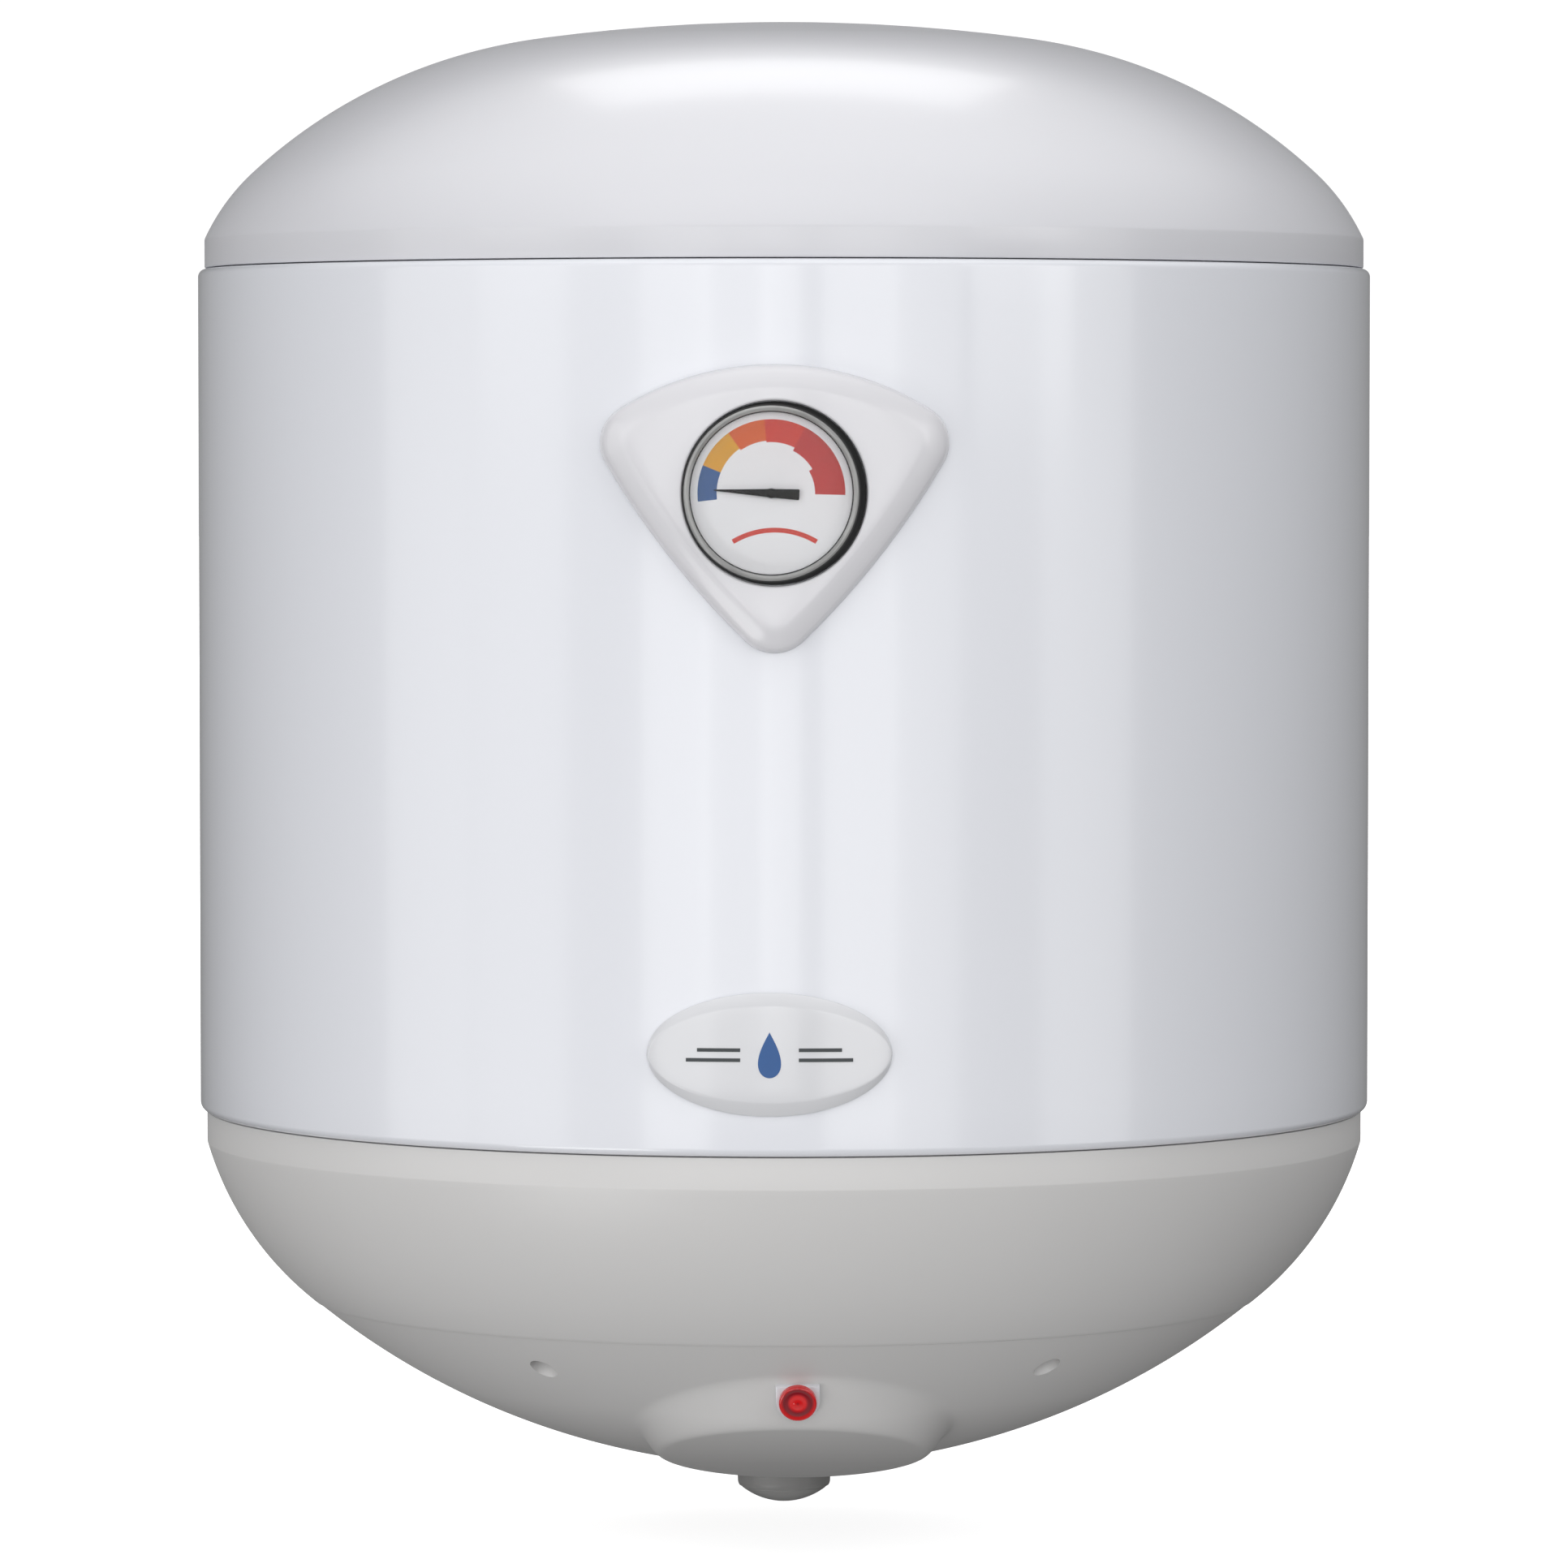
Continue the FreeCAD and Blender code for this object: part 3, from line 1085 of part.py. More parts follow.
def make_controls():
    body = new_body("thermostat_body")
    block = {"Length": "58", "Width": "38", "Height": "34"}
    shape_in(body, "AdditiveBox", block, ("-29", "-13", "thermostat_low"))
    trim = {"Length": "20", "Width": "8", "Height": "40"}
    shape_in(body, "SubtractiveBox", trim, ("-29", "-13.01", "thermostat_low + 18"))
    shape_in(body, "SubtractiveBox", trim, ("9", "-13.01", "thermostat_low + 18"))
    drill(body, "0", "0", "spindle_r + 0.3", "thermostat_low - 1", "thermostat_low + 8")
    drill(body, "button_x", "button_y", "3.4", "thermostat_low - 1", "thermostat_low + 9")
    turned("reset_button", disc("3", "thermostat_low - 3", "thermostat_low + 6"),
           at=("button_x", "button_y - axis_y", "0"))
    block = new_body("terminal_block")
    size = {"Length": "34", "Width": "20", "Height": "15"}
    shape_in(block, "AdditiveBox", size, ("-125", "-10", "ceiling_z - 15.1"))
    for x in ("-117", "-108", "-99"):
        drill(block, x, "0", "2.6", "ceiling_z - 20", "ceiling_z - 8")
    wires = []
    for number in range(3):
        x = -117.0 + 9.0 * number
        wires.append(bent_tube([
            (value("gland_x") + 3.0 * (number - 1), value("gland_y"), value("gland_collar_z") + 35),
            (value("gland_x") + 3.0 * (number - 1), value("gland_y"), value("ceiling_z") - 22),
            (x, 0.0, value("ceiling_z") - 22),
            (x, 0.0, value("ceiling_z") - 8.5),
        ], 5.0, 1.1))
    shaped("supply_wires", Part.makeCompound(wires))
    screw = solid("Cylinder", {"Radius": "2.5", "Height": "9"}, ("-60", "-70", "ceiling_z - 9.1"))
    washer = solid("Cylinder", {"Radius": "5", "Height": "1.2"}, ("-60", "-70", "ceiling_z - 4.1"))
    node(boolean("Fuse", screw, washer), "earth_screw")
    at = ("gland_x", "gland_y - axis_y", "0")
    turned("cable_gland", [
        ("4.5", "gland_collar_z - 4"),
        ("12.4", "gland_collar_z - 4"),
        ("13.4", "gland_collar_z - 3"),
        ("13.4", "gland_collar_z - 0.1"),
        ("10", "gland_collar_z - 0.1"),
        ("10", "gland_collar_z + 30"),
        ("4.5", "gland_collar_z + 30"),
    ], at=at)
    turned("gland_nut", ring("10.1", "14.5", "gland_collar_z + 20.2", "gland_collar_z + 25.2"), at=at)


def lamp_wires():
    """Two leads from the back of the lamp to the thermostat."""
    start = Vector(*[value(size) for size in along_lamp(-25.2)])
    leads = []
    for side in (-1.8, 1.8):
        leads.append(bent_tube([
            (start.x + side, start.y, start.z),
            (start.x + side, start.y + 12, start.z + 4.6),
            (side * 4, value("element_y") - 12, value("thermostat_low") + 26),
            (side * 4, -13.2, value("thermostat_low") + 26),
        ], 5.0, 0.9))
    shaped("lamp_wires", Part.makeCompound(leads))


# ---------------------------------------------------------------- whole heater

def check_and_write():
    doc.recompute()
    broken = [item.Name + " " + str(item.State) for item in doc.Objects
              if "Invalid" in item.State or "Error" in item.State]
    for label, piece in nodes.items():
        shape = piece.Shape
        if shape.isNull() or not shape.isValid() or not shape.Solids:
            broken.append(label + " has no valid solid")
    for item in doc.Objects:
        takes_away = "Subtractive" in item.TypeId or item.TypeId.endswith(("Groove", "Pocket"))
        if takes_away and item.BaseFeature and item.Shape.Volume >= item.BaseFeature.Shape.Volume - 0.01:
            broken.append(item.Name + " cuts nothing")
    if broken:
        raise RuntimeError("; ".join(broken))
    os.makedirs("parts", exist_ok=True)
    for label, piece in nodes.items():
        piece.Shape.exportStep(f"parts/{label}.step")
    print(len(nodes), "pieces written")


def main():
    make_outer_shell()
    make_top_cap()
    make_bottom_cap()
    make_service_cover()
    make_cover_screws()
    make_wall_bracket()
    make_lower_wall_spacer()
    make_thermometer_panel()
    make_gauge()
    make_bourdon_coil()
    make_temperature_probe()
    make_badge()
    make_lamp()
    make_control_knob()
    make_tank()
    make_foam()
    make_pipes()
    make_flange()
    make_flange_fittings()
    make_controls()
    lamp_wires()
    check_and_write()


main()
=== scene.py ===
import json
import math

import bmesh
import bpy
import numpy as np
from mathutils import Matrix, Vector


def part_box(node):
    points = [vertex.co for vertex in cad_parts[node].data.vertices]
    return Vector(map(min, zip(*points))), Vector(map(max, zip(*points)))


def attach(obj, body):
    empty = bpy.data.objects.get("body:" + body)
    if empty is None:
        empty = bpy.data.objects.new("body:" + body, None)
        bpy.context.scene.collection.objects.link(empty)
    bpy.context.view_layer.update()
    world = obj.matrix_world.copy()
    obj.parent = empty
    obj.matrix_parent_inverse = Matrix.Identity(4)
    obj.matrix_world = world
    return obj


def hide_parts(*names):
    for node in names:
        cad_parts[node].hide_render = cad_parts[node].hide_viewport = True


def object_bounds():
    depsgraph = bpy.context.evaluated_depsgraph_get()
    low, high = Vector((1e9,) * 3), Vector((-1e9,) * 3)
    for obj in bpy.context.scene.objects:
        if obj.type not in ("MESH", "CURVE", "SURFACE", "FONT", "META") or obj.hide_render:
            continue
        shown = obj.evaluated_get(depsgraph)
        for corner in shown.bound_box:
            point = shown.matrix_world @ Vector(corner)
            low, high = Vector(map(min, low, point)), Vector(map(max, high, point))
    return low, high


# Looks of a wall-hung storage water heater. Sizes are in millimetres, and MM turns them
# into the scene's metres. Radii are from the tank's axis unless a comment says otherwise.
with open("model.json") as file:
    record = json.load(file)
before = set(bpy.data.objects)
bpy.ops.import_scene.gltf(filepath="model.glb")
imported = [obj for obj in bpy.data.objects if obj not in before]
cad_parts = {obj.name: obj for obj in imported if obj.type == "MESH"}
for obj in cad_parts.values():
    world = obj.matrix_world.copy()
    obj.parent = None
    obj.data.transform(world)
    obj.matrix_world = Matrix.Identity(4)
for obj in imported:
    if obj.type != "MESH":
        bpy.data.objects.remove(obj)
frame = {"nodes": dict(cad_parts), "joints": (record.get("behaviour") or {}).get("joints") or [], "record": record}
cad_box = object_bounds()

MM = 0.001
CLOCKWISE = -1
ANTICLOCKWISE = 1
FRONT = 90.0
SEGMENTS = 256
ON_AXIS = 1e-6

joints = {joint["name"]: joint for joint in frame["joints"]}
AXIS = Vector(joints["knob_turn"]["pos_m"]) / MM
AXIS.z = 0.0
GAUGE = Vector(joints["needle_turn"]["pos_m"]) / MM
GAUGE.y = AXIS.y


def box_mm(node):
    low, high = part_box(node)
    return low / MM, high / MM


def middle_mm(node):
    low, high = box_mm(node)
    return (low + high) / 2


def radius_mm(node):
    """Half a node's width from side to side."""
    low, high = box_mm(node)
    return (high.x - low.x) / 2


SHELL_LOW = box_mm("outer_shell")[0].z
SHELL_TOP = box_mm("outer_shell")[1].z
SHELL_R = box_mm("outer_shell")[1].x
CAP_R = box_mm("top_cap")[1].x
CAP_TOP = box_mm("top_cap")[1].z
COVER_R = box_mm("service_cover")[1].x
COVER_RIM = box_mm("service_cover")[1].z
PIPE_LOW = box_mm("cold_inlet_nipple")[0].z
PIPE_TOP = box_mm("cold_inlet_nipple")[1].z
PIPE_R = radius_mm("cold_inlet_nipple")


# ---------------------------------------------------------------- mesh helpers

def arc_between(start, end, radius, turn, fine):
    """Points inside the shorter arc from start to end, a few degrees apart."""
    chord = end - start
    left = Vector((-chord.y, chord.x)).normalized()
    offset = math.sqrt(max(radius ** 2 - (chord.length / 2) ** 2, 0.0))
    centre = (start + end) / 2 + left * offset * turn
    first = math.atan2(start.y - centre.y, start.x - centre.x)
    last = math.atan2(end.y - centre.y, end.x - centre.x)
    sweep = (last - first) * turn % (2 * math.pi) * turn
    steps = max(2, math.ceil(math.degrees(abs(sweep)) / fine))
    angles = [first + sweep * step / steps for step in range(1, steps)]
    return [centre + Vector((math.cos(angle), math.sin(angle))) * radius for angle in angles]


def outline_points(outline, fine=2.0):
    """A closed outline as points.

    Each corner is (x, y), or (x, y, radius, turn) when an arc leads to it.
    """
    points = []
    for number, corner in enumerate(outline):
        start, end = Vector(outline[number - 1][:2]), Vector(corner[:2])
        if len(corner) == 4:
            points += arc_between(start, end, corner[2], corner[3], fine)
        points.append(end)
    return points


def standing(at, lean=0.0, spin=0.0):
    """Places a shape drawn about +Z in millimetres; lean tips its +Z to the front."""
    tip = Matrix.Rotation(math.radians(lean), 4, "X")
    turn = Matrix.Rotation(math.radians(spin), 4, "Z")
    return Matrix.Scale(MM, 4) @ Matrix.Translation(at) @ tip @ turn


def skin(rings, closed_rings=True, closed_across=True):
    """A mesh between rings of points. A ring of one point closes the mesh at its middle."""
    mesh = bmesh.new()
    made = [[mesh.verts.new(point) for point in ring] for ring in rings]
    count = max(len(ring) for ring in rings)
    pairs = list(zip(made, made[1:])) + ([(made[-1], made[0])] if closed_across else [])
    for ring, following in pairs:
        for number in range(count if closed_rings else count - 1):
            corners = []
            for owner, place in ((ring, number), (following, number),
                                 (following, number + 1), (ring, number + 1)):
                corner = owner[place % len(owner)]
                if corner not in corners:
                    corners.append(corner)
            if len(corners) > 2:
                mesh.faces.new(corners)
    bmesh.ops.recalc_face_normals(mesh, faces=mesh.faces)
    return mesh


def turned(outline, segments=SEGMENTS, fine=2.0, ripple=None):
    """An outline of (radius, height) turned about +Z. ripple(angle, height) scales the radius."""
    angles = [2 * math.pi * step / segments for step in range(segments)]
    rings = []
    for point in outline_points(outline, fine):
        if abs(point.x) < ON_AXIS:
            rings.append([(0.0, 0.0, point.y)])
            continue
        ring = []
        for angle in angles:
            radius = point.x * (ripple(angle, point.y) if ripple else 1.0)
            ring.append((radius * math.cos(angle), radius * math.sin(angle), point.y))
        rings.append(ring)
    return skin(rings)


def slab(first_edge, second_edge, lay, low, high):
    """A thin closed sheet between two edges of flat points, laid by lay(x, y, height)."""
    rings = []
    for (x1, y1), (x2, y2) in zip(first_edge, second_edge):
        rings.append([lay(x1, y1, low), lay(x2, y2, low), lay(x2, y2, high), lay(x1, y1, high)])
    mesh = skin(rings, closed_across=False)
    mesh.verts.ensure_lookup_table()
    mesh.faces.new(mesh.verts[:4])
    mesh.faces.new(mesh.verts[-4:])
    bmesh.ops.recalc_face_normals(mesh, faces=mesh.faces)
    return mesh


def prism(outline, low, high, fine=6.0):
    """A flat outline pushed along +Z."""
    points = outline_points(outline, fine)
    mesh = bmesh.new()
    lower = [mesh.verts.new((point.x, point.y, low)) for point in points]
    upper = [mesh.verts.new((point.x, point.y, high)) for point in points]
    for number in range(len(points)):
        mesh.faces.new((lower[number - 1], lower[number], upper[number], upper[number - 1]))
    mesh.faces.new(lower)
    mesh.faces.new(upper)
    bmesh.ops.recalc_face_normals(mesh, faces=mesh.faces)
    return mesh


def ring_outline(inner, outer, low, high):
    return [(inner, low), (outer, low), (outer, high), (inner, high)]


def disc_outline(outer, low, high):
    return [(0.0, low), (outer, low), (outer, high), (0.0, high)]


def object_of(name, mesh, matrix):
    """A linked object in its place, with the transform in its mesh."""
    data = bpy.data.meshes.new(name)
    mesh.transform(matrix)
    mesh.to_mesh(data)
    mesh.free()
    made = bpy.data.objects.new(name, data)
    bpy.context.scene.collection.objects.link(made)
    return made


def apply_modifiers(item):
    evaluated = item.evaluated_get(bpy.context.evaluated_depsgraph_get())
    solid = bpy.data.meshes.new_from_object(evaluated)
    item.modifiers.clear()
    item.data = solid


def combine(item, operation, parts, solver="EXACT"):
    """Adds or cuts closed meshes, each a (mesh, matrix) pair."""
    whole = bmesh.new()
    for mesh, matrix in parts:
        mesh.transform(matrix)
        data = bpy.data.meshes.new("part")
        mesh.to_mesh(data)
        mesh.free()
        whole.from_mesh(data)
        bpy.data.meshes.remove(data)
    tool = object_of("tool", whole, Matrix.Identity(4))
    step = item.modifiers.new(operation, "BOOLEAN")
    step.operation = operation
    step.object = tool
    step.solver = solver
    apply_modifiers(item)
    bpy.data.objects.remove(tool)


def soften(item, width, segments=3, angle=32.0):
    """Rounds the item's sharp edges by a width in millimetres."""
    step = item.modifiers.new("soft_edges", "BEVEL")
    step.width = width * MM
    step.segments = segments
    step.limit_method = "ANGLE"
    step.angle_limit = math.radians(angle)
    apply_modifiers(item)
    return item


def finished(item, slot, body="heater", replaces=(), sharp=40.0, finish=None):
    """Gives a piece its shading, its finish and its body, and hides the CAD nodes that it stands for.

    Its finish is the slot's own unless another is named.
    """
    item.data.shade_smooth()
    item.data.set_sharp_from_angle(angle=math.radians(sharp))
    item.data.materials.clear()
    item.data.materials.append(finishes[finish or slot])
    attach(item, body)
    if replaces:
        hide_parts(*replaces)


# ---------------------------------------------------------------- finishes

finishes = {}


def new_finish(name):
    """A new material, kept in finishes under its name."""
    material = bpy.data.materials.new(name)
    finishes[name] = material
    material.use_nodes = True
    nodes = material.node_tree.nodes
    return material, nodes, material.node_tree.links, nodes["Principled BSDF"]


def noise(nodes, links, scale, detail=3.0, stretch=(1.0, 1.0, 1.0), kind="ShaderNodeTexNoise"):
    """A solid texture in the object's own space; scale is in features per metre."""
    where = nodes.new("ShaderNodeTexCoord")
    mapping = nodes.new("ShaderNodeMapping")
    mapping.inputs["Scale"].default_value = stretch
    texture = nodes.new(kind)
    texture.inputs["Scale"].default_value = scale
    if "Detail" in texture.inputs:
        texture.inputs["Detail"].default_value = detail
    links.new(where.outputs["Object"], mapping.inputs["Vector"])
    links.new(mapping.outputs["Vector"], texture.inputs["Vector"])
    return texture


def level(nodes, links, source, low, high, from_low=0.3, from_high=0.7):
    """Maps a texture's value to a range."""
    step = nodes.new("ShaderNodeMapRange")
    step.inputs["From Min"].default_value = from_low
    step.inputs["From Max"].default_value = from_high
    step.inputs["To Min"].default_value = low
    step.inputs["To Max"].default_value = high
    links.new(source, step.inputs["Value"])
    return step.outputs["Result"]


def tint_mix(nodes, links, factor, first, second):
    mix = nodes.new("ShaderNodeMix")
    mix.data_type = "RGBA"
    mix.inputs["A"].default_value = (*first, 1.0)
    mix.inputs["B"].default_value = (*second, 1.0)
    links.new(factor, mix.inputs["Factor"])
    return mix.outputs["Result"]


def bumped(nodes, links, shader, height, strength, distance):
    bump = nodes.new("ShaderNodeBump")
    bump.inputs["Strength"].default_value = strength
    bump.inputs["Distance"].default_value = distance
    links.new(height, bump.inputs["Height"])
    links.new(bump.outputs["Normal"], shader.inputs["Normal"])


def mottled(name, color, spread=0.03, rough=(0.3, 0.4), patch=14.0, grain=1500.0,
            grain_depth=0.00002, strength=0.15, metallic=0.0, coat=0.0, coat_rough=0.1,
            subsurface=0.0, stretch=(1.0, 1.0, 1.0), kind="ShaderNodeTexNoise", specular=0.5):
    """A solid-coloured finish with slow colour and gloss variation and a fine surface grain."""
    material, nodes, links, shader = new_finish(name)
    slow = noise(nodes, links, patch, 4.0, stretch)
    factor = level(nodes, links, slow.outputs[0], 0.0, 1.0, 0.15, 0.85)
    darker = tuple(part * (1.0 - spread) for part in color)
    lighter = tuple(min(1.0, part * (1.0 + spread)) for part in color)
    links.new(tint_mix(nodes, links, factor, darker, lighter), shader.inputs["Base Color"])
    fine = noise(nodes, links, grain, 2.0, stretch, kind)
    gloss = level(nodes, links, slow.outputs[0], rough[0], rough[1], 0.15, 0.85)
    links.new(gloss, shader.inputs["Roughness"])
    bumped(nodes, links, shader, fine.outputs[0], strength, grain_depth)
    shader.inputs["Metallic"].default_value = metallic
    shader.inputs["Coat Weight"].default_value = coat
    shader.inputs["Coat Roughness"].default_value = coat_rough
    shader.inputs["Specular IOR Level"].default_value = specular
    if subsurface:
        shader.inputs["Subsurface Weight"].default_value = subsurface
        shader.inputs["Subsurface Radius"].default_value = (0.004, 0.0035, 0.003)
        shader.inputs["Subsurface Scale"].default_value = 1.0
    return material


def printed(name, color, spread=0.06):
    """Matt ink on the dial or the badge."""
    mottled(name, color, spread, (0.4, 0.5), 150.0, 4000.0, 0.00001, 0.1)


# The painted shade's darkest share of the colour, and the heights in metres that it runs between.
SHADE_DARKEST = 0.78
SHADE_FROM_Z, SHADE_TO_Z = -0.374, -0.350


def painted_shade_below(material):
    """Paints shade into a finish: darkens its colour a little towards the lowest part of the heater."""
    nodes, links = material.node_tree.nodes, material.node_tree.links
    shader = nodes["Principled BSDF"]
    plain = shader.inputs["Base Color"].links[0].from_socket
    where = nodes.new("ShaderNodeTexCoord")
    split = nodes.new("ShaderNodeSeparateXYZ")
    links.new(where.outputs["Object"], split.inputs[0])
    # Painted shade: the colour is scaled down towards the lowest heights.
    depth = level(nodes, links, split.outputs["Z"], SHADE_DARKEST, 1.0, SHADE_FROM_Z, SHADE_TO_Z)
    dim = nodes.new("ShaderNodeVectorMath")
    dim.operation = "SCALE"
    links.new(plain, dim.inputs[0])
    links.new(depth, dim.inputs["Scale"])
    links.new(dim.outputs["Vector"], shader.inputs["Base Color"])


def clear_pane(name):
    """Thin clear plastic: it passes light straight through and mirrors a little of the room."""
    _, nodes, links, shader = new_finish(name)
    nodes.remove(shader)
    haze = noise(nodes, links, 90.0, 3.0)
    mirror = nodes.new("ShaderNodeBsdfGlossy")
    mirror.inputs["Color"].default_value = (0.95, 0.96, 0.97, 1.0)
    links.new(level(nodes, links, haze.outputs[0], 0.04, 0.09), mirror.inputs["Roughness"])
    through = nodes.new("ShaderNodeBsdfTransparent")
    through.inputs["Color"].default_value = (0.985, 0.987, 0.99, 1.0)
    fresnel = nodes.new("ShaderNodeFresnel")
    fresnel.inputs["IOR"].default_value = 1.18
    mix = nodes.new("ShaderNodeMixShader")
    links.new(fresnel.outputs[0], mix.inputs[0])
    links.new(through.outputs[0], mix.inputs[1])
    links.new(mirror.outputs[0], mix.inputs[2])
    links.new(mix.outputs[0], nodes["Material Output"].inputs["Surface"])


def red_lens(name):
    """Moulded red lens with painted light and shade in its colour: a painted bright middle, a painted dark ring
    for the shade of the lamp's wall and a painted bright rim. Its faint glow carries the same rings.
    """
    _, nodes, links, shader = new_finish(name)
    where = nodes.new("ShaderNodeTexCoord")
    away = nodes.new("ShaderNodeVectorMath")
    away.operation = "DISTANCE"
    away.inputs[1].default_value = LAMP_HEART
    links.new(where.outputs["Object"], away.inputs[0])
    # Painted light and shade: bright and dark rings set by distance from LAMP_HEART.
    ramp = nodes.new("ShaderNodeValToRGB")
    stops = ramp.color_ramp.elements
    stops[0].position = 0.0
    stops[0].color = (0.22, 0.008, 0.012, 1.0)
    stops[1].position = 1.0
    stops[1].color = (0.50, 0.006, 0.008, 1.0)
    for position, color in (
        (0.10, (0.50, 0.008, 0.010, 1.0)),
        (0.36, (0.58, 0.012, 0.014, 1.0)),
        (0.50, (0.19, 0.006, 0.012, 1.0)),
        (0.68, (0.15, 0.005, 0.010, 1.0)),
        (0.80, (0.46, 0.006, 0.008, 1.0)),
    ):
        stops.new(position).color = color
    reach = level(nodes, links, away.outputs["Value"], 0.0, 1.0, 0.0, LENS_R * MM * 1.12)
    links.new(reach, ramp.inputs["Fac"])
    links.new(ramp.outputs["Color"], shader.inputs["Base Color"])
    links.new(ramp.outputs["Color"], shader.inputs["Emission Color"])
    shader.inputs["Emission Strength"].default_value = 0.25
    fine = noise(nodes, links, 1500.0, 2.0)
    links.new(level(nodes, links, fine.outputs[0], 0.08, 0.18), shader.inputs["Roughness"])
    bumped(nodes, links, shader, fine.outputs[0], 0.12, 0.00004)
    shader.inputs["Coat Weight"].default_value = 0.6
    shader.inputs["Coat Roughness"].default_value = 0.05


# The lamp's axis leans to the front by LAMP_LEAN, its lens is at LAMP, and the lens's painted rings of light and
# shade are centred on LAMP_HEART, a little in front of it.
LAMP_LEAN = 111.0
LENS_R = 6.95
SKEW = math.radians(1.8)
LAMP_OUT = 161.2
LAMP = Vector((LAMP_OUT * math.sin(SKEW), AXIS.y - LAMP_OUT * math.cos(SKEW), -342.8))
LAMP_WAY = Vector((0.0, -math.sin(math.radians(LAMP_LEAN)), math.cos(math.radians(LAMP_LEAN))))
LAMP_HEART = (LAMP + LAMP_WAY * 3.4 + Vector((0.0, -0.2, 0.6))) * MM

mottled("jacket_paint", (0.80, 0.814, 0.863), 0.003, (0.30, 0.34), 9.0, 700.0, 0.00002, 0.10,
        coat=0.95, coat_rough=0.11)
mottled("cap_plastic", (0.70, 0.702, 0.737), 0.003, (0.25, 0.28), 11.0, 1400.0, 0.00002, 0.10,
        coat=0.15, subsurface=0.03)
# Painted shade: the bottom cap's and the service cover's finishes are darker copies of the top cap's white
# plastic. They stand for the underside, which faces away from the lights. The cover's copy is the darker one.
mottled("shaded_base_plastic", (0.675, 0.668, 0.662), 0.004, (0.36, 0.40), 11.0, 1700.0, 0.00003, 0.16,
        subsurface=0.03)
painted_shade_below(mottled("shaded_cover_plastic", (0.645, 0.638, 0.632), 0.005, (0.38, 0.42), 11.0, 1700.0,
                     0.00003, 0.16, subsurface=0.03))
mottled("panel_plastic", (0.735, 0.73, 0.76), 0.010, (0.22, 0.28), 30.0, 1400.0, 0.00002, 0.08,
        coat=0.3)
mottled("badge_plastic", (0.70, 0.705, 0.73), 0.010, (0.16, 0.22), 40.0, 1400.0, 0.00002, 0.06,
        coat=0.5)
# Painted shade: the knob's deep grey is darker than its own plastic. It stands for the shade the knob sits in
# under the cover.
mottled("knob_plastic", (0.26, 0.257, 0.253), 0.015, (0.34, 0.42), 60.0, 2200.0, 0.00003, 0.2)
mottled("white_plastic", (0.72, 0.72, 0.71), 0.02, (0.35, 0.45), 60.0, 2200.0, 0.00003, 0.2)
mottled("black_plastic", (0.018, 0.018, 0.019), 0.2, (0.3, 0.42), 80.0, 2500.0, 0.00004, 0.25)
mottled("black_rubber", (0.014, 0.014, 0.015), 0.25, (0.55, 0.7), 80.0, 3000.0, 0.00005, 0.4)
mottled("dial_white", (0.93, 0.925, 0.935), 0.012, (0.35, 0.45), 60.0, 3500.0, 0.00002, 0.12)
mottled("needle_black", (0.010, 0.009, 0.008), 0.2, (0.4, 0.5), 200.0, 4000.0, 0.00002, 0.2,
        specular=0.15)
clear_pane("clear_lens")
# Painted reflection: the clear lens's rim is drawn in opaque mid grey. The grey stands for the dark room mirrored
# in the clear plastic's wall.
mottled("lens_rim", (0.30, 0.30, 0.295), 0.35, (0.08, 0.2), 60.0, 900.0, 0.00004, 0.2, coat=0.7,
        coat_rough=0.05)
red_lens("red_lens")
mottled("red_plastic", (0.52, 0.02, 0.018), 0.06, (0.3, 0.42), 80.0, 2400.0, 0.00004, 0.2)
mottled("blue_plastic", (0.02, 0.09, 0.42), 0.06, (0.3, 0.42), 80.0, 2400.0, 0.00004, 0.2)
mottled("bracket_paint", (0.56, 0.56, 0.57), 0.05, (0.34, 0.5), 40.0, 900.0, 0.00005, 0.25)
mottled("zinc_steel", (0.60, 0.61, 0.63), 0.14, (0.28, 0.46), 160.0, 260.0, 0.00003, 0.25,
        metallic=1.0, kind="ShaderNodeTexVoronoi")
mottled("pipe_steel", (0.55, 0.55, 0.56), 0.12, (0.26, 0.42), 90.0, 1600.0, 0.00004, 0.3,
        metallic=1.0, stretch=(1.0, 1.0, 6.0))
mottled("tank_steel", (0.36, 0.36, 0.37), 0.15, (0.35, 0.55), 20.0, 500.0, 0.00005, 0.3,
        metallic=1.0)
mottled("copper", (0.72, 0.34, 0.20), 0.18, (0.25, 0.45), 60.0, 900.0, 0.00003, 0.25, metallic=1.0)
mottled("brass", (0.68, 0.49, 0.22), 0.12, (0.22, 0.4), 90.0, 1200.0, 0.00003, 0.25, metallic=1.0)
mottled("magnesium", (0.48, 0.48, 0.47), 0.15, (0.5, 0.7), 60.0, 700.0, 0.0001, 0.4, metallic=1.0)
mottled("foam", (0.72, 0.56, 0.30), 0.12, (0.8, 0.95), 12.0, 420.0, 0.0006, 0.7,
        kind="ShaderNodeTexVoronoi", specular=0.2)
mottled("wire_blue", (0.03, 0.08, 0.36), 0.06, (0.35, 0.5), 60.0, 2000.0, 0.00003, 0.2)
printed("print_blue", (0.03, 0.105, 0.30))
printed("print_yellow", (0.78, 0.37, 0.025))
printed("print_orange", (0.74, 0.125, 0.022))
printed("print_red", (0.68, 0.05, 0.03))
printed("print_deep_red", (0.56, 0.04, 0.036))
printed("print_grey", (0.045, 0.052, 0.056), 0.08)

for row in frame["record"]["subparts"]:
    carried = frame["nodes"][row["node"]]
    carried.data.materials.clear()
    carried.data.materials.append(finishes[row["material_slot"]])


# ---------------------------------------------------------------- jacket and top cap

GAUGE_HOLE_R = 30.1
SPACER_HOLE_R = 5.4
THROUGH_JACKET = (190, 250)  # distances from the tank's axis that a cutter runs between


